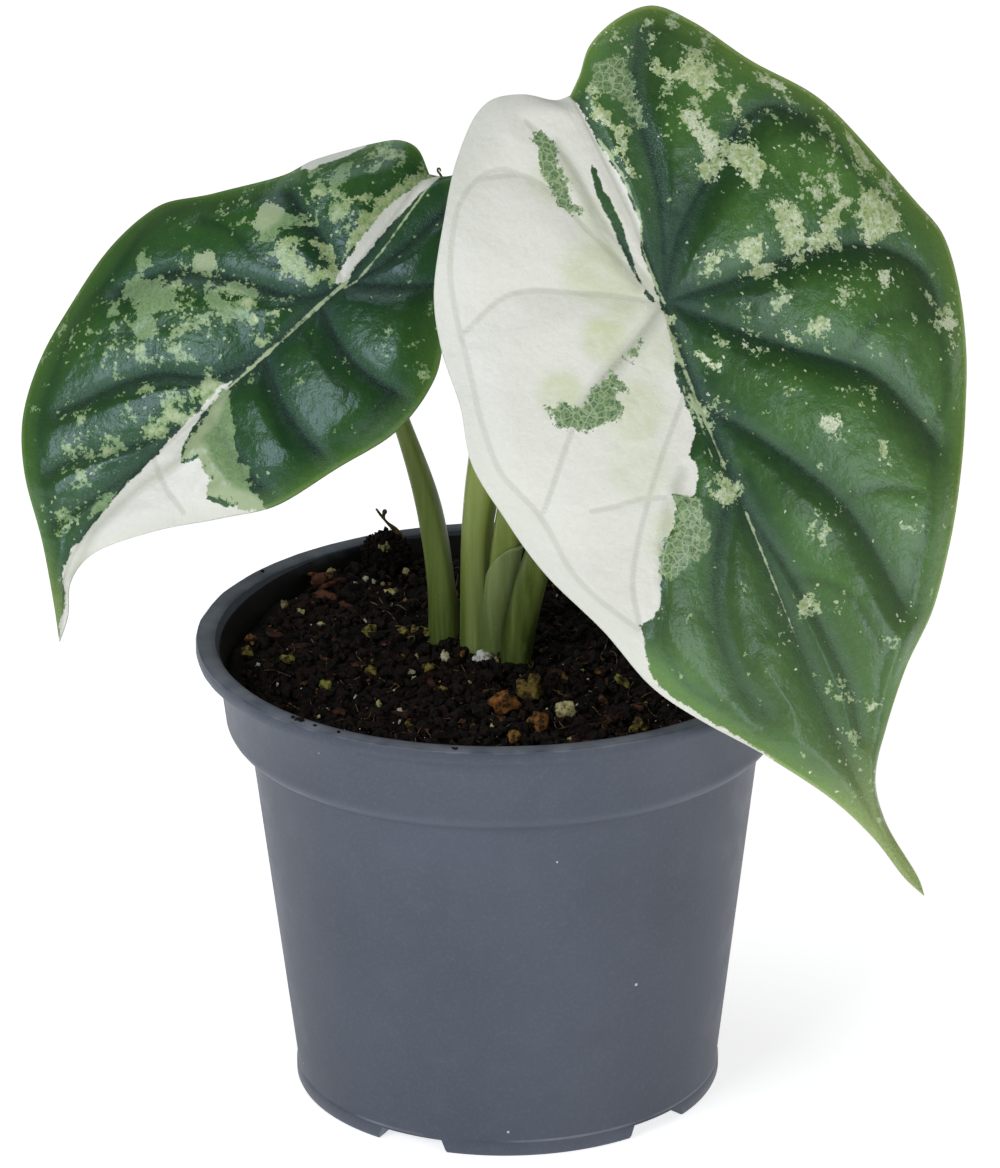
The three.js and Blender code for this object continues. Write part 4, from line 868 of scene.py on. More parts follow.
# A stalk's direction is taken over this share of its length either way
DIRECTION_STEP = 0.004
LEFT_STALK = [
    (-11.7, 12.7, 80, 3.2), (-11.7, 12.7, 87, 3.2), (-12.4, 13, 98.5, 2.7), (-14.7, 13.2, 114.4, 2.5),
    (-19.6, 12.8, 131.6, 1.75), (-25.3, 12.2, 148, 1.6), (-28.6, 10.6, 158, 1.55),
]
FRONT_STALK = [
    (2.1, -0.8, 80, 3.1), (2.1, -0.8, 87, 3.1), (3.2, -1.8, 95, 3.05), (5.3, -3.5, 105, 3),
    (10.9, -7.5, 123.7, 2.5), (18.5, -12, 142.3, 2.1), (25.3, -14.6, 157, 1.9), (28.4, -16.2, 164, 1.8),
]
YOUNG_STALK = [
    (-5.6, 6.8, 80, 3.1), (-5.6, 6.8, 87, 3.1), (-5.6, 6.8, 97, 3), (-5.4, 6.8, 109.7, 2.95),
    (-4.2, 7, 120.3, 3.4), (-2.6, 7, 132.4, 3.45),
]
SHOOT = [
    (-2.1, 3.4, 80, 1.5), (-2.1, 3.4, 87, 1.5), (-0.8, 3, 100, 2.5), (0.6, 2.4, 111, 2.9),
    (2.3, 2, 120.5, 2.9), (4.6, 1.5, 128.5, 2), (6.8, 1, 136, 0.4),
]
ROLLED_LEAF = [
    (-2.6, 7, 132.2, 3.4), (-1.6, 7.2, 142, 4.3), (0.2, 7.8, 156, 4.5), (2.4, 8.8, 172, 3.6),
    (4.6, 10, 188, 1.8), (5.4, 10.5, 194, 0.5),
]


def path_frames(rows, shares):
    """Centre, radius, and the two directions square to the path, at shares of its length."""
    line = smooth_line(rows)
    spots = along_line(line, shares)
    ahead = along_line(line, np.minimum(np.asarray(shares) + DIRECTION_STEP, 1))
    behind = along_line(line, np.maximum(np.asarray(shares) - DIRECTION_STEP, 0))
    frames = []
    for spot, tangent in zip(spots, (ahead - behind)[:, :3]):
        along = Vector(tangent).normalized()
        across = (Vector((1, 0, 0)) - along * along.x).normalized()
        frames.append((Vector(spot[:3]), spot[3], across, along.cross(across)))
    return frames


def skin_rings(bm, rings):
    """Extrudes a first ring of points along the others; both ends get a cap."""
    verts = [bm.verts.new(point) for point in rings[0]]
    edges = [bm.edges.new((a, b)) for a, b in zip(verts, verts[1:] + verts[:1])]
    bmesh.ops.contextual_create(bm, geom=edges)
    for ring in rings[1:]:
        grown = bmesh.ops.extrude_edge_only(bm, edges=edges)["geom"]
        edges = [item for item in grown if isinstance(item, bmesh.types.BMEdge)]
        fresh = [item for item in grown if isinstance(item, bmesh.types.BMVert)]
        for vertex, point in zip(fresh, ring):
            vertex.co = point
    bmesh.ops.contextual_create(bm, geom=edges)
    bmesh.ops.recalc_face_normals(bm, faces=bm.faces[:])


def stalk_rings(rows, count, sides=28, flute=0.035):
    """Rings of a stalk that is slightly fluted lengthwise, by a share of its radius."""
    rings = []
    for step, (centre, radius, across, deep) in enumerate(path_frames(rows, np.linspace(0, 1, count))):
        ring = []
        for k in range(sides):
            angle = 2 * math.pi * k / sides
            coarse = flute * math.sin(FLUTES["coarse"] * angle + FLUTES["turn"] * step)
            fine = FLUTES["fine_share"] * flute * math.sin(FLUTES["fine"] * angle)
            swell = radius * (1 + coarse + fine)
            ring.append(centre + across * swell * math.cos(angle) + deep * swell * math.sin(angle))
        rings.append(ring)
    return rings


def hub_end(leaf):
    """Where a stalk meets the back of its blade."""
    face = (Matrix.Rotation(math.radians(leaf["facing"]), 4, "Z")
            @ Matrix.Rotation(math.radians(90 - leaf["tilt"]), 4, "X")) @ Vector((0, 0, 1))
    return (*(Vector(leaf["hub"]) - HUB_DEPTH * face), STALK_END_RADIUS)


def make_stalk(rows, name, material, replaced):
    """A stalk with its foot in the peat."""
    bm = bmesh.new()
    skin_rings(bm, stalk_rings(rows, STALK_RINGS))
    bmesh.ops.scale(bm, vec=(MM, MM, MM), verts=bm.verts[:])
    finish_mesh(bm, name, material, replaced)


# The young stalk's sheath, a thin wing round the front of the shoot. Its upper edge slants from
# the notch to the top. It thins towards that edge and towards its free side.

SHEATH = {
    "thickness": 0.65, "bottom": 84, "notch_height": 102, "top": 111, "join_angle": 142,
    "free_angle": 350, "slant_share": 0.7, "rings": 30, "steps": 30, "gap": 0.2,
    "top_thinning": 0.45, "side_thinning": 0.4,
}


def make_sheath(material):
    """Rings that go round the shoot on the outside and back on the inside."""
    heights = smooth_line(SHOOT)
    slant = SHEATH["top"] - SHEATH["notch_height"]
    sweep = SHEATH["free_angle"] - SHEATH["join_angle"]
    rings = []
    for i in range(SHEATH["rings"] + 1):
        rise, ring = i / SHEATH["rings"], []
        for k, extra in [(k, SHEATH["thickness"]) for k in range(SHEATH["steps"] + 1)] + [
                (k, 0) for k in range(SHEATH["steps"], -1, -1)]:
            share = k / SHEATH["steps"]
            edge = SHEATH["notch_height"] + slant * ease(share / SHEATH["slant_share"])
            height = SHEATH["bottom"] + (edge - SHEATH["bottom"]) * rise
            x, y, radius = (np.interp(height, heights[:, 2], heights[:, axis]) for axis in (0, 1, 3))
            top_thinning = 1 - SHEATH["top_thinning"] * ease(3 * rise - 2)
            side_thinning = 1 - SHEATH["side_thinning"] * ease(4 * share - 3)
            reach = radius + SHEATH["gap"] + extra * top_thinning * side_thinning
            angle = math.radians(SHEATH["join_angle"] + share * sweep)
            ring.append(Vector((x + reach * math.cos(angle), y + reach * math.sin(angle), height)))
        rings.append(ring)
    bm = bmesh.new()
    skin_rings(bm, rings)
    bmesh.ops.scale(bm, vec=(MM, MM, MM), verts=bm.verts[:])
    finish_mesh(bm, "stalk_sheath", material, "petiole_young")


# The still rolled blade is a scroll: its free edge stands off by the overlap, a share of the
# radius, and twists round as it goes up. The turn is just short of a full one.
SCROLL = {"overlap": 0.24, "start_angle": 250, "twist": 130, "turn": 0.998, "sides": 60, "rings": 80}


def make_rolled_leaf(material):
    """A blade still rolled up, on top of the upright stalk."""
    rings = []
    frames = path_frames(ROLLED_LEAF, np.linspace(0, 1, SCROLL["rings"]))
    for step, (centre, radius, across, deep) in enumerate(frames):
        turn = math.radians(SCROLL["start_angle"] + SCROLL["twist"] * step / (SCROLL["rings"] - 1))
        ring = []
        for k in range(SCROLL["sides"] + 1):
            share = k / SCROLL["sides"]
            angle = turn + 2 * math.pi * min(share, SCROLL["turn"])
            reach = radius * (1 - SCROLL["overlap"] / 2 + SCROLL["overlap"] * share)
            ring.append(centre + across * reach * math.cos(angle) + deep * reach * math.sin(angle))
        rings.append(ring)
    bm = bmesh.new()
    skin_rings(bm, rings)
    bmesh.ops.scale(bm, vec=(MM, MM, MM), verts=bm.verts[:])
    finish_mesh(bm, "rolled_young_leaf", material, "rolled_leaf")


STALK_COLOURS = {
    # Foot, top, streaks, and the heights in mm between which the foot's colour turns to the top's
    "left_leaf": ("#4D5E27", "#7D913F", "#97A85C", 88, 150),
    "front_leaf": ("#3D4B1C", "#6F8436", "#8C9C56", 88, 150),
    "young_leaf": ("#5F6F2D", "#92A34B", "#AEBB7C", 90, 132),
    "pale_sheath": ("#63733C", "#8A9A5E", "#A9B68A", 88, 112),
    "rolled_blade": ("#8E9C66", "#A9B67C", "#C2CB9E", 132, 194),
}


def stalk_skin(part):
    """Living stalk skin: smooth and satin, darker and greyer at the foot, with fine streaks that
    run up it, a millimetre and four millimetres apart."""
    material, add = new_material("living_stalk_" + part)
    foot, top, streak, low, high = STALK_COLOURS[part]
    place = add("TexCoord", output="Object")
    height = add("SeparateXYZ", (place,), 2)
    stretched = add("Mapping", {"Vector": place, "Scale": (1, 1, 0.05)})
    fine = add("TexNoise", {"Vector": stretched, "Scale": 1 / (0.9 * MM), "Detail": 3.0})
    bands = add("TexNoise", {"Vector": stretched, "Scale": 1 / (4 * MM), "Detail": 2.0})
    pores = add("TexNoise", {"Vector": place, "Scale": 1 / (0.3 * MM), "Detail": 2.0})
    body = linear(foot)
    for mask, coat in ((add("MapRange", (height, low * MM, high * MM)), top),
                       (add("MapRange", (fine, 0.5, 0.75, 0.0, 0.3)), streak),
                       (add("MapRange", (bands, 0.45, 0.7, 0.0, 0.5)), streak),
                       (add("MapRange", (bands, 0.3, 0.45, 0.55, 0.0)), foot),
                       (add("MapRange", (pores, 0.62, 0.7, 0.0, 0.25)), streak)):
        body = add("Mix", {0: mask, 6: body, 7: linear(coat)}, 2, data_type="RGBA")
    relief = add("Math", (pores, 0.3, fine), operation="MULTIPLY_ADD")
    bump = add("Bump", {"Strength": 0.4, "Distance": 0.2 * MM, "Height": relief})
    skin = add("BsdfPrincipled", {
        "Base Color": body, "Roughness": 0.38, "IOR": 1.45, "Normal": bump, "Specular IOR Level": 0.38})
    add("OutputMaterial", (skin,))
    return material


# Pot

POT = {
    "height": 93, "lip_radius": 60, "lip_height": 2.8, "lip_round": 0.8, "lip_flat": 2.6, "lip_fall": 1,
    "collar_top_radius": 56.1, "collar_low_radius": 54.5, "shoulder_top": 77.5, "shoulder_height": 4.1,
    "body_top_radius": 49.9, "body_low_radius": 41.6, "foot_radius": 41.9, "foot_height": 3.2,
    "foot_step": 0.4, "foot_round": 0.8, "wall": 1.2, "floor": 4, "sides": 180,
}
DRAIN = {
    "slots": 5, "first_slot_angle": -27, "slot_width": 13, "slot_height": 2.8, "slot_inner_radius": 22,
    "slot_flare": 1.28, "hole_radius": 3, "hole_distance": 34, "hole_middle": 4.5, "hole_depth": 6.8,
    "overrun": 2,
}
# How thin plastic warps, in mm: an oval and a fine wave that grow with height, and an uneven lip
WARP = {
    "oval": 0.25, "oval_phase": 0.7, "wave": 0.1, "waves": 5, "from_height": 5,
    "nick": 0.22, "nick_size": 5, "lip_from": 57,
}
FLAT_ANGLE = 35


def shoulder_arc(inner_offset, lift):
    """The rounded step from the body of the pot out to its collar, outside or inside the wall."""
    arc = []
    for degrees in range(0, 91, 10):
        angle = math.radians(degrees)
        reach = math.sin(angle)
        radius = POT["body_top_radius"] * (1 - reach) + POT["collar_low_radius"] * reach - inner_offset
        height = POT["shoulder_top"] + lift - (POT["shoulder_height"] - inner_offset) * math.cos(angle)
        arc.append((radius, height))
    return arc


def pot_profile():
    """Radius and height along the pot's section, from the middle of its base, round the outside and
    the lip, to the middle of its floor. The offsets of up to 1 mm round its moulded corners."""
    foot, foot_round, foot_top = POT["foot_radius"], POT["foot_round"], POT["foot_height"]
    lip, lip_round, fall = POT["lip_radius"], POT["lip_round"], POT["lip_fall"]
    top, low, floor = POT["height"], POT["body_low_radius"], POT["floor"]
    lip_bottom = top - POT["lip_height"]
    collar = POT["collar_top_radius"]
    inner = collar - POT["wall"]
    return [
        (0, 0), (foot - foot_round, 0), (foot - 0.25, 0.25), (foot, foot_round), (foot, foot_top - 0.3),
        (foot - 0.12, foot_top - 0.05), (low, foot_top + POT["foot_step"]),
        *shoulder_arc(0, 0),
        (collar - 0.2, lip_bottom - 1), (collar + 0.4, lip_bottom - 0.1), (lip - lip_round, lip_bottom),
        (lip - 0.2, lip_bottom + 0.25), (lip, lip_bottom + lip_round), (lip, top - lip_round),
        (lip - 0.25, top - 0.2), (lip - lip_round, top), (lip - POT["lip_flat"], top),
        (inner + fall + 0.3, top - 0.3), (inner + fall, top - fall), (inner, lip_bottom),
        *reversed(shoulder_arc(POT["wall"], 0.3)),
        (low - POT["wall"], floor), (0, floor),
    ]


def drain_cutters():
    """Blocks and pegs that cut the drainage: slots in the foot, wider at the bottom, and a hole up
    through the floor from each. The overrun takes a slot's block out past the foot and the base."""
    cutters = bmesh.new()
    channel_end = POT["foot_radius"] + DRAIN["overrun"]
    length = channel_end - DRAIN["slot_inner_radius"]
    tall = DRAIN["slot_height"] + DRAIN["overrun"]
    for k in range(DRAIN["slots"]):
        angle = math.radians(DRAIN["first_slot_angle"] + 360 * k / DRAIN["slots"])
        turn = Matrix.Rotation(angle, 4, "Z")
        channel = (Matrix.Translation((0, -(channel_end - length / 2), DRAIN["slot_height"] - tall / 2))
                   @ Matrix.Diagonal((DRAIN["slot_width"], length, tall, 1)))
        corners = bmesh.ops.create_cube(cutters, size=1)["verts"]
        for corner in corners:
            if corner.co.z < 0:
                corner.co.x *= DRAIN["slot_flare"]
        bmesh.ops.transform(cutters, matrix=Matrix.Scale(MM, 4) @ turn @ channel, verts=corners)
        hole = Matrix.Translation((0, -DRAIN["hole_distance"], DRAIN["hole_middle"]))
        bmesh.ops.create_cone(cutters, cap_ends=True, segments=24, radius1=DRAIN["hole_radius"],
                              radius2=DRAIN["hole_radius"], depth=DRAIN["hole_depth"],
                              matrix=Matrix.Scale(MM, 4) @ turn @ hole)
    return cutters


def make_pot(material):
    """A spun shell with its drain slots and holes cut, then slightly warped as thin plastic is."""
    bm = bmesh.new()
    verts = [bm.verts.new((radius * MM, 0, height * MM)) for radius, height in pot_profile()]
    edges = [bm.edges.new(pair) for pair in zip(verts, verts[1:])]
    bmesh.ops.spin(bm, geom=verts + edges, axis=(0, 0, 1), cent=(0, 0, 0), angle=2 * math.pi,
                   steps=POT["sides"], use_merge=True)
    bmesh.ops.remove_doubles(bm, verts=bm.verts[:], dist=0.01 * MM)
    bmesh.ops.recalc_face_normals(bm, faces=bm.faces[:])
    shell, cutter = new_object(bm, "pot_shell"), new_object(drain_cutters(), "drain_cutters")
    cut = shell.modifiers.new("drain", "BOOLEAN")
    cut.object, cut.operation, cut.solver, cut.use_self = cutter, "DIFFERENCE", "EXACT", True
    bpy.context.view_layer.update()
    cut_shell = shell.evaluated_get(bpy.context.evaluated_depsgraph_get())
    bm = bmesh.new()
    bm.from_mesh(cut_shell.to_mesh())
    cut_shell.to_mesh_clear()
    for item in (cutter, shell):
        bpy.data.objects.remove(item)
    for vertex in bm.verts:
        x, y, z = vertex.co / MM
        radius = math.hypot(x, y)
        if radius > 1 and z > WARP["from_height"]:
            angle = math.atan2(y, x)
            oval = WARP["oval"] * math.sin(2 * angle + WARP["oval_phase"])
            warp = oval + WARP["wave"] * math.sin(WARP["waves"] * angle)
            unevenness = WARP["nick"] * noise.noise(Vector((x, y, 0)) / WARP["nick_size"])
            nick = unevenness if radius > WARP["lip_from"] else 0
            grow = 1 + (warp * (z / POT["height"]) ** 2 + nick) / radius
            vertex.co.x *= grow
            vertex.co.y *= grow
    piece = finish_mesh(bm, "nursery_pot", material, "pot")
    # Edges that are sharper than the flat angle stay sharp, so that flats stay flat
    bm = bmesh.new()
    bm.from_mesh(piece.data)
    for edge in bm.edges:
        edge.smooth = len(edge.link_faces) != 2 or edge.calc_face_angle(0) < math.radians(FLAT_ANGLE)
    bm.to_mesh(piece.data)
    bm.free()


def pot_plastic():
    """Slate grey polypropylene, injection moulded: satin, with faint flow marks, fine grain, pale
    dust specks, a paler lip top that is partly wear and partly painted highlight, a painted
    highlight along the foot's upper edge, and a dark coat inside that is partly a film of damp
    peat and partly painted shade."""
    material, add = new_material("polypropylene_slate_grey")
    place = add("TexCoord", output="Object")
    x, y, height = add("SeparateXYZ", (place,)).node.outputs
    flow, scuff, grain = (add("TexNoise", {"Vector": place, "Scale": 1 / (size * MM), "Detail": 4.0})
                          for size in (36, 6, 0.7))
    dust_spot = add("TexVoronoi", {"Vector": place, "Scale": 1 / (5 * MM)}, "Color").node.outputs
    dust_size = add("SeparateColor", (dust_spot["Color"],))
    dust_reach = add("MapRange", (dust_size, 0.86, 1.0, 0.0, 0.07))
    dust = add("Math", (dust_spot["Distance"], dust_reach), operation="LESS_THAN")
    from_axis = add("VectorMath", (add("CombineXYZ", (x, y)),), "Value", operation="LENGTH")
    # A cone in the middle of the collar's slanted wall parts its inside from its outside
    wall_middle = add("Math", (height, 0.126, 44.1 * MM), operation="MULTIPLY_ADD")
    inside = add("Math", (from_axis, wall_middle), operation="LESS_THAN")
    above_shoulder = add("Math", (height, 78 * MM), operation="GREATER_THAN")
    # The inner wall above the shoulder is darkened: partly a film of damp peat, partly painted shade
    peat_film_and_shade = add("Math", (scuff, 0.008, height), operation="MULTIPLY_ADD")
    peat_film_and_shade = add("MapRange", (peat_film_and_shade, 95.5 * MM, 97.5 * MM, 0.96, 0.5))
    inner_wall = add("Math", (inside, above_shoulder), operation="MULTIPLY")
    peat_film_and_shade = add("Math", (peat_film_and_shade, inner_wall), operation="MULTIPLY")
    # Paler on the lip's top, partly wear and partly painted highlight, and a broken painted highlight
    # line along the foot's upper edge
    lip_wear_and_highlight = add("Math", (scuff, 0.0012, height), operation="MULTIPLY_ADD")
    lip_wear_and_highlight = add("MapRange", (lip_wear_and_highlight, 93.2 * MM, 93.8 * MM, 0.0, 0.75))
    foot_edge_highlight = add("Math", (height, 3.3 * MM, 0.2 * MM), operation="COMPARE")
    highlight_breakup = add("MapRange", (flow, 0.44, 0.54, 0.0, 0.6))
    foot_edge_highlight = add("Math", (foot_edge_highlight, highlight_breakup), operation="MULTIPLY")
    body = linear("#474D59")
    for mask, coat in ((add("MapRange", (flow, 0.3, 0.7)), "#4F5562"), (foot_edge_highlight, "#878C96"),
                       (add("MapRange", (scuff, 0.5, 0.75, 0.0, 0.3)), "#575D69"), (lip_wear_and_highlight, "#878C96"),
                       (add("MapRange", (grain, 0.5, 0.8, 0.0, 0.14)), "#7C828C"),
                       (dust, "#C2C4C6"), (peat_film_and_shade, "#120F0E")):
        body = add("Mix", {0: mask, 6: body, 7: linear(coat)}, 2, data_type="RGBA")
    shine = add("MapRange", (scuff, 0.3, 0.7, 0.4, 0.5))
    bump = add("Bump", {"Strength": 0.25, "Distance": 0.12 * MM, "Height": add(
        "Math", (scuff, 0.8, grain), operation="MULTIPLY_ADD")})
    plastic = add("BsdfPrincipled", {
        "Base Color": body, "Roughness": shine, "IOR": 1.49, "Normal": bump,
        "Specular IOR Level": 0.28})
    add("OutputMaterial", (plastic,))
    return material


# Peat mix. Its surface is the solid soil's: level, with a rise to the back and the middle, lumps,
# and a mound at the back left. On it the bed has crumbs of its own, which reach below and above it.

SOIL = {
    "level": 86.2, "back_rise": 2.2, "centre_rise": 0.8, "centre_spread": 30, "lump": 0.7,
    "lump_rate": (0.41, 0.37), "lump_phase": 1.3, "fine_lump_share": 0.6,
    "fine_lump_rate": (-0.62, 0.83),
    "mound_at": (-30, 40), "mound_rise": 2.6, "mound_spread": 13, "edge_radius": 54.2, "bottom": 78,
}
BED = {
    "rings": 56, "sides": 150, "bottom_share": 0.9, "crumb_height": 1.1, "crumb_size": 7,
    "crumb_sink": 0.8,
}


def soil_height(x, y):
    """The height of the soil's surface."""
    back = SOIL["back_rise"] * float(ease(y / SOIL["edge_radius"]))
    centre = SOIL["centre_rise"] * math.exp(-(x * x + y * y) / SOIL["centre_spread"] ** 2)
    from_mound = math.hypot(x - SOIL["mound_at"][0], y - SOIL["mound_at"][1])
    mound = SOIL["mound_rise"] * math.exp(-(from_mound / SOIL["mound_spread"]) ** 2)
    rate_x, rate_y = SOIL["lump_rate"]
    fine_x, fine_y = SOIL["fine_lump_rate"]
    coarse = math.sin(rate_x * x + SOIL["lump_phase"]) * math.cos(rate_y * y)
    fine = SOIL["fine_lump_share"] * math.sin(fine_x * x + fine_y * y)
    return SOIL["level"] + back + centre + mound + SOIL["lump"] * (coarse + fine)


def make_soil_bed(material):
    """A round plug of peat: a ring extruded down to its bottom, and inwards over its crumbly top."""
    bm = bmesh.new()
    bmesh.ops.create_circle(bm, cap_ends=False, radius=SOIL["edge_radius"], segments=BED["sides"])
    edges = bm.edges[:]
    for item in bmesh.ops.extrude_edge_only(bm, edges=edges)["geom"]:
        if isinstance(item, bmesh.types.BMVert):
            item.co.x *= BED["bottom_share"]
            item.co.y *= BED["bottom_share"]
            item.co.z = SOIL["bottom"] - SOIL["level"]
    for rings_left in range(BED["rings"] - 1, 0, -1):
        grown = bmesh.ops.extrude_edge_only(bm, edges=edges)["geom"]
        edges = [item for item in grown if isinstance(item, bmesh.types.BMEdge)]
        scale = rings_left / (rings_left + 1)
        for item in grown:
            if isinstance(item, bmesh.types.BMVert):
                item.co.x *= scale
                item.co.y *= scale
    bmesh.ops.contextual_create(bm, geom=edges)
    bottom = [edge for edge in bm.edges if edge.is_boundary]
    bmesh.ops.contextual_create(bm, geom=bottom)
    for vertex in bm.verts:
        x, y, _ = vertex.co
        if vertex.co.z > -1:
            unevenness = noise.turbulence(Vector((x, y, 3)) / BED["crumb_size"], 4, False)
            vertex.co.z = soil_height(x, y) + BED["crumb_height"] * unevenness - BED["crumb_sink"]
        else:
            vertex.co.z += SOIL["level"]
    bmesh.ops.recalc_face_normals(bm, faces=bm.faces[:])
    bmesh.ops.scale(bm, vec=(MM, MM, MM), verts=bm.verts[:])
    finish_mesh(bm, "peat_bed", material, "soil")


# Least and greatest share of the radius that each kind of grain has along its three axes
ROUND = ((0.8, 1.2),) * 3
BROKEN = ((0.5, 1.4),) * 3
FLAKE = ((0.8, 1.5), (0.4, 0.7), (0.16, 0.34))
# How a grain turns and tips, in radians, and its lumps: the least size of a grain as a share, how
# much the lumps add to that, and how many go on a radius
GRAIN = {"turn": 6.28, "tip": 0.7, "least": 0.75, "lumps": 0.55, "lump_rate": 1.3}
BATCH = 120


def add_grain(bm, middle, radius, draw, subdivisions, stretch, shade=None):
    """Adds one lumpy grain; its shade picks its colour between the two of its kind."""
    tone = bm.verts.layers.float["tone"]
    turn = (Matrix.Rotation(draw.uniform(0, GRAIN["turn"]), 4, "Z")
            @ Matrix.Rotation(draw.uniform(-GRAIN["tip"], GRAIN["tip"]), 4, "X"))
    shape = Matrix.Diagonal((*(draw.uniform(*limits) for limits in stretch), 1))
    made = bmesh.ops.create_icosphere(bm, subdivisions=subdivisions, radius=radius,
                                      matrix=Matrix.Translation(middle) @ turn @ shape)
    shade, offset = draw.random() if shade is None else shade, draw.uniform(0, 100)
    for vertex in made["verts"]:
        away = vertex.co - Vector(middle)
        spot = GRAIN["lump_rate"] * away / radius + Vector((offset, 0, 0))
        swell = GRAIN["least"] + GRAIN["lumps"] * noise.turbulence(spot, 3, False)
        vertex.co = Vector(middle) + away * swell
        vertex[tone] = shade


def new_grains():
    """An empty mesh with the layer for the grains' tones."""
    bm = bmesh.new()
    bm.verts.layers.float.new("tone")
    return bm


def add_many(bm, count, add_one):
    """Adds many grains to a mesh, a small batch at a time, which is quicker than one by one."""
    for start in range(0, count, BATCH):
        batch = new_grains()
        for _ in range(min(BATCH, count - start)):
            add_one(batch)
        mesh = bpy.data.meshes.new("grain_batch")
        batch.to_mesh(mesh)
        batch.free()
        bm.from_mesh(mesh)
        bpy.data.meshes.remove(mesh)


def finish_grains(bm, name, material, smooth=False):
    """Turns a mesh in millimetres into a piece of the peat mix, in metres."""
    bmesh.ops.scale(bm, vec=(MM, MM, MM), verts=bm.verts[:])
    finish_mesh(bm, name, material, smooth=smooth)


# Thrown grains: the power that makes most of them small, their least distance from the pot's wall,
# and how high the middle of a grain lies above the soil, as a share of its radius
THROWN = {"bias": 2.2, "wall_gap": 2, "lift": 0.05}


def scatter(name, material, count, sizes, seed, stretch=BROKEN):
    """Grains thrown evenly over the soil, many small ones and few large ones."""
    draw = random.Random(seed)

    def throw(batch):
        radius = sizes[0] + (sizes[1] - sizes[0]) * draw.random() ** THROWN["bias"]
        distance = (SOIL["edge_radius"] - THROWN["wall_gap"] - radius) * math.sqrt(draw.random())
        angle = 2 * math.pi * draw.random()
        x, y = distance * math.cos(angle), distance * math.sin(angle)
        lift = THROWN["lift"] * radius
        add_grain(batch, (x, y, soil_height(x, y) + lift), radius, draw, 1, stretch)

    bm = new_grains()
    add_many(bm, count, throw)
    finish_grains(bm, name, material)


# Grains that stand out in the photograph: x, y, radius, shade. Their middles lie above the soil, or
# above the pot's lip, by a share of their radius.
PLACED_LIFT = 0.4
LIP_LIFT = 0.2
PUMICE = [
    (-26.3, 15.4, 1.7, 0.9), (-50.5, 6, 1.6, 0.8), (-50, 13.6, 1.2, 0.3), (-42.3, 1.1, 1.3, 1),
    (-26, -4.7, 1.4, 1), (-34.8, -11.4, 1.6, 1), (-18.4, -32.2, 1.2, 1), (-14.9, -3.9, 1.3, 0.9),
    (-8.6, 2.4, 1, 0.3), (4.8, -17.5, 3, 0.95), (-0.9, -22.8, 3.2, 0.1), (6.2, -32.5, 2.5, 0.15),
    (1.4, -37.8, 1.6, 0.4), (11.6, -9, 1, 0.8), (25.5, -33.2, 1.9, 0.9), (-19.9, 14.9, 1.2, 0.9),
    (-17.6, 15.2, 1.2, 0.8), (-15.2, 13, 1.2, 0.9), (-13.1, 13.8, 1.2, 0.9), (22.7, -12.4, 1.6, 1),
]
PALE_GRIT = [
    (-34.4, 39.5, 1, 1), (-19.4, 39.3, 1.3, 0.6), (-22.3, 29.8, 1.4, 1), (-27.5, 34.1, 0.6, 0.2),
    (-26, 34.2, 0.6, 0.2), (-24.1, 35, 0.5, 0.4), (-29.6, 32, 0.6, 0.5), (-27.4, 18.8, 0.5, 0),
    (-43.6, 28, 1.1, 0.9), (-40.2, 23.3, 0.8, 0.8), (-36.2, 19.2, 0.9, 0.9), (-41.3, 8, 0.7, 0.9),
    (-48.1, 0.5, 0.4, 0), (-44.1, -9.2, 0.5, 0), (-28.6, -19.4, 0.9, 0.1), (-24.3, -19.8, 0.9, 0.9),
    (-20.3, -23.9, 0.6, 0.4), (-20.1, -29.7, 0.7, 0.3), (-18.4, -5.8, 0.9, 0.2),
    (-17.6, -8.3, 0.8, 0.5), (-11.6, 0, 1.6, 0.6), (-16.9, 2.1, 0.8, 0.6), (-4.6, 1.9, 1.9, 0),
    (-3.2, 0.2, 1.2, 0.1), (-1.8, -1.4, 0.9, 0.9), (-6.8, -11.9, 0.6, 0.8), (-2.5, -32.2, 0.7, 1),
    (12.2, -37.5, 0.8, 0.8), (15.1, -4.6, 0.6, 1), (11.4, -27.7, 2.1, 0.9), (11.4, -4, 0.7, 0.3),
]
BARK = [
    (-37.2, 37, 3, 0), (-36.2, 34.8, 3.2, 0.1), (-34, 33.6, 2.6, 0.2), (-31.6, 26.6, 2.2, 0.5),
    (-35.5, 27.7, 2.4, 0.5), (18.9, -21.3, 1.8, 0.4), (7.6, 4.7, 1.4, 0.5), (22.3, -36, 1.2, 0.3),
    (-45.1, 12.4, 3, 0.9), (-40.1, 7.4, 2.4, 1), (-31.7, -23.8, 2, 0.8), (-20, -28, 1.8, 0.9),
    (-10, -40, 1.5, 0.7),
]
# Crumbs that lie on the lip of the pot: x, y, radius
LIP_CRUMBS = [
    (-39.4, -43, 0.75), (-38.6, -43.6, 0.6), (-40.3, -42, 0.4), (-9.5, -57.8, 0.55),
    (-36, -46, 0.35), (-31.5, -49.4, 0.35), (-48, 33, 0.6),
]

# What the mix is made of: the two colours between which the grains of a kind vary, those of the
# dirt in their hollows and of the damp patches, share of dirt, size of a fleck of dirt in mm
GRAIN_KINDS = {
    "damp_peat": ("#130C08", "#25170F", "#050302", "#2B130D", 0.5, 1.1),
    "composted_bark": ("#734531", "#3D2115", "#1B0E09", "#2B130D", 0.46, 1.6),
    "pumice_gravel": ("#9A5A2C", "#86843E", "#33260F", "#6B4A22", 0.48, 1.3),
    "pale_grit": ("#DAD8D2", "#C2B87C", "#5A4E38", "#8D8450", 0.42, 1.0),
    "dry_root": ("#75603F", "#94805C", "#2A1E12", "#5A4428", 0.45, 1.5),
}
DAMP_PATCH = 9.0


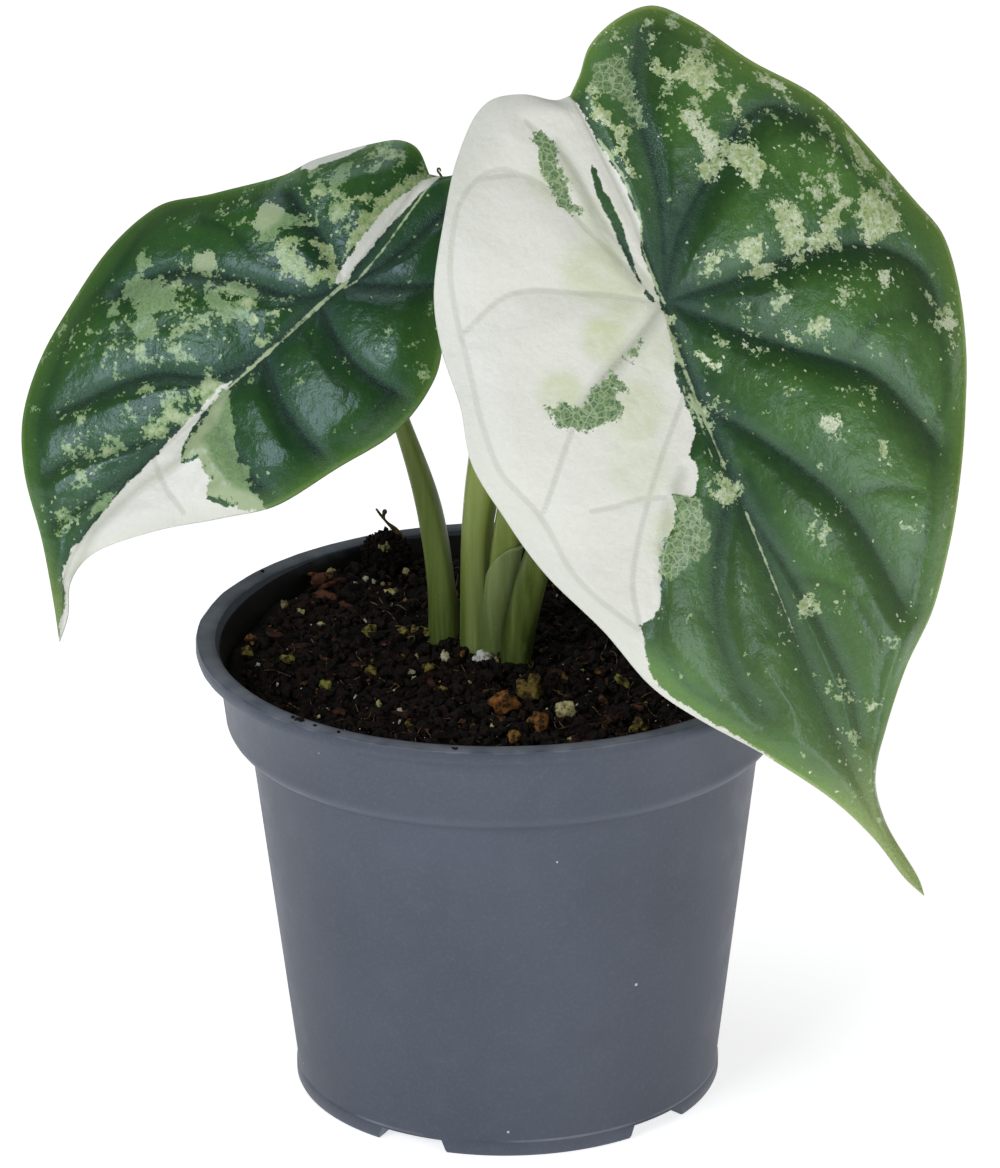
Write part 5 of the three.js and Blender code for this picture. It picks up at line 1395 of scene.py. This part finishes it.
def soil_grain(kind):
    """A grain of the peat mix: dull and rough, dirty in its hollows, each grain in its own tone,
    and stained in patches where the mix is damp."""
    material, add = new_material(kind)
    base, other, dirt, damp, dirt_share, fleck_size = GRAIN_KINDS[kind]
    place = add("TexCoord", output="Object")
    tone = add("Attribute", output="Fac", attribute_name="tone")
    fleck = add("TexNoise", {
        "Vector": place, "Scale": 1 / (fleck_size * MM), "Detail": 5.0, "Roughness": 0.65})
    patch = add("TexNoise", {"Vector": place, "Scale": 1 / (DAMP_PATCH * MM), "Detail": 3.0})
    body = linear(base)
    for mask, coat in ((tone, other), (add("MapRange", (patch, 0.46, 0.62, 0.0, 0.7)), damp),
                       (add("MapRange", (fleck, dirt_share - 0.06, dirt_share + 0.1, 1.0, 0.0)), dirt)):
        body = add("Mix", {0: mask, 6: body, 7: linear(coat)}, 2, data_type="RGBA")
    bump = add("Bump", {"Strength": 0.7, "Distance": 0.4 * MM, "Height": fleck})
    crust = add("BsdfPrincipled", {
        "Base Color": body, "Roughness": 0.85, "Specular IOR Level": 0.25, "Normal": bump})
    add("OutputMaterial", (crust,))
    return material


# The clod's core is a little smaller than its radii, and its crumbs stick to the core. On it are a
# pale grain and two dry root tips, whose rows are points and radii.
CLOD = {
    "at": (-23.5, 44, 92.3), "radii": (4.8, 4.2, 5), "core": 0.92, "crumbs": 420,
    "crumb_reach": (0.85, 1), "crumb_radius": (0.35, 1), "grain_at": (-24, 41.2, 95),
    "grain_radius": 1.5, "grain_shade": 0.95,
}
DRY_ROOTS = [
    [(-20.2, 43.6, 95.6, 0.5), (-21.6, 43.4, 97.6, 0.6), (-23.2, 43.4, 99.2, 0.3),
     (-24.6, 43.4, 101, 0.28), (-25.4, 43.4, 102.2, 0.22)],
    [(-23.8, 43.4, 99.8, 0.25), (-23.9, 43.4, 100.8, 0.3), (-23.7, 43.4, 101.6, 0.5),
     (-23.6, 43.4, 102, 0.3)],
]
# A dried, hooked shred of leaf edge in the notch of the left leaf
DRIED_HOOK = [
    (-11.1, 15.4, 180.2, 0.25), (-11.4, 15.5, 181.2, 0.25), (-11.7, 15.6, 181.9, 0.24),
    (-12.2, 15.7, 182.6, 0.22), (-12.1, 15.8, 183.1, 0.2), (-11.8, 15.8, 183, 0.18),
    (-11.65, 15.7, 182.5, 0.15),
]
# Root fibres lie within reach of the pot's axis, run more from front to back than across, and bow
# a little to a side. Each of their points lies on the soil or up to the lift above it.
FIBRES = {
    "count": 170, "reach": 47, "heading": (0.5, 2.6), "length": (3, 8), "bow": 1.5, "lift": 0.7,
    "radius": 0.11,
}
# How much roots and shreds are fluted, as a share of their radius
ROOT_FLUTE = 0.1


def make_clod(peat, grit, root):
    """A clod of peat at the back left, with a pale grain in it and dry root tips standing on it."""
    draw = random.Random(31)
    bm = new_grains()
    middle = Vector(CLOD["at"])
    bmesh.ops.create_icosphere(bm, subdivisions=4, radius=CLOD["core"],
                               matrix=Matrix.Translation(middle) @ Matrix.Diagonal((*CLOD["radii"], 1)))

    def stick(batch):
        side = Vector([draw.gauss(0, 1) for _ in range(3)]).normalized()
        reach = Vector([a * b for a, b in zip(side, CLOD["radii"])])
        add_grain(batch, middle + reach * draw.uniform(*CLOD["crumb_reach"]),
                  draw.uniform(*CLOD["crumb_radius"]), draw, 1, BROKEN)

    add_many(bm, CLOD["crumbs"], stick)
    finish_grains(bm, "peat_clod", peat)
    bm = new_grains()
    add_grain(bm, CLOD["grain_at"], CLOD["grain_radius"], draw, 3, ROUND, CLOD["grain_shade"])
    finish_grains(bm, "clod_grain", grit, smooth=True)
    bm = new_grains()
    for line in DRY_ROOTS:
        skin_rings(bm, stalk_rings(line, 24, 10, ROOT_FLUTE))
    finish_grains(bm, "dry_root_tips", root, smooth=True)


def make_dried_hook(material):
    """The dry shred in the left leaf's notch, the same brown as the roots."""
    bm = new_grains()
    skin_rings(bm, stalk_rings(DRIED_HOOK, 40, 8, ROOT_FLUTE))
    finish_grains(bm, "dried_leaf_hook", material, smooth=True)


def make_fibres(material):
    """Fine roots and shreds that lie about on the peat."""
    draw = random.Random(32)
    bm = new_grains()
    for _ in range(FIBRES["count"]):
        distance, angle = FIBRES["reach"] * math.sqrt(draw.random()), 2 * math.pi * draw.random()
        heading, half = draw.uniform(*FIBRES["heading"]), draw.uniform(*FIBRES["length"]) / 2
        bow = draw.uniform(-FIBRES["bow"], FIBRES["bow"])
        line = []
        for step in (-1, -0.5, 0, 0.5, 1):
            along, aside = step * half, bow * step ** 2
            x = distance * math.cos(angle) + along * math.cos(heading) - aside * math.sin(heading)
            y = distance * math.sin(angle) + along * math.sin(heading) + aside * math.cos(heading)
            height = soil_height(x, y) + draw.uniform(0, FIBRES["lift"])
            line.append((x, y, height, FIBRES["radius"]))
        skin_rings(bm, stalk_rings(line, 10, 5, ROOT_FLUTE))
    finish_grains(bm, "root_fibres", material, smooth=True)


def make_soil():
    """The bed, the thrown grains, those at the photograph's places, and what lies on them."""
    peat, bark, pumice, grit, root = (soil_grain(kind) for kind in GRAIN_KINDS)
    make_soil_bed(peat)
    scatter("peat_crumbs", peat, 6500, (0.3, 1.7), 11)
    scatter("bark_shreds", bark, 420, (0.5, 2.2), 12, FLAKE)
    scatter("pumice_grains", pumice, 130, (0.25, 1.1), 13)
    scatter("pale_specks", grit, 240, (0.1, 0.5), 14)
    for name, material, rows, seed, stretch in (
            ("large_pumice", pumice, PUMICE, 21, ROUND), ("large_bark", bark, BARK, 22, FLAKE),
            ("large_grit", grit, PALE_GRIT, 23, BROKEN)):
        draw = random.Random(seed)
        bm = new_grains()
        for x, y, radius, shade in rows:
            middle = (x, y, soil_height(x, y) + PLACED_LIFT * radius)
            add_grain(bm, middle, radius, draw, 3, stretch, shade)
        finish_grains(bm, name, material, smooth=True)
    draw = random.Random(24)
    bm = new_grains()
    for x, y, radius in LIP_CRUMBS:
        add_grain(bm, (x, y, POT["height"] + LIP_LIFT * radius), radius, draw, 2, BROKEN)
    finish_grains(bm, "lip_crumbs", peat)
    make_clod(peat, grit, root)
    make_dried_hook(root)
    make_fibres(root)


# Build

place_camera()
make_stage()
make_pot(pot_plastic())
make_soil()

left_skin, front_skin, young_skin, sheath_skin, rolled_skin = map(stalk_skin, STALK_COLOURS)
make_stalk([*LEFT_STALK, hub_end(LEFT_LEAF)], "left_leaf_stalk", left_skin, "petiole_left")
make_stalk([*FRONT_STALK, hub_end(FRONT_LEAF)], "front_leaf_stalk", front_skin, "petiole_front")
make_stalk(YOUNG_STALK, "young_leaf_stalk", young_skin, "petiole_young")
make_stalk(SHOOT, "side_shoot", young_skin, "young_shoot")
make_sheath(sheath_skin)
make_rolled_leaf(rolled_skin)

make_blade(LEFT_LEAF, "left_leaf_blade", leaf_skin("living_leaf_deep_green", DEEP_GREEN_COLOURS, 0.3),
           "leaf_left")
make_blade(FRONT_LEAF, "front_leaf_blade", leaf_skin("living_leaf_half_cream", LEAF_COLOURS, 1.0),
           "leaf_front")
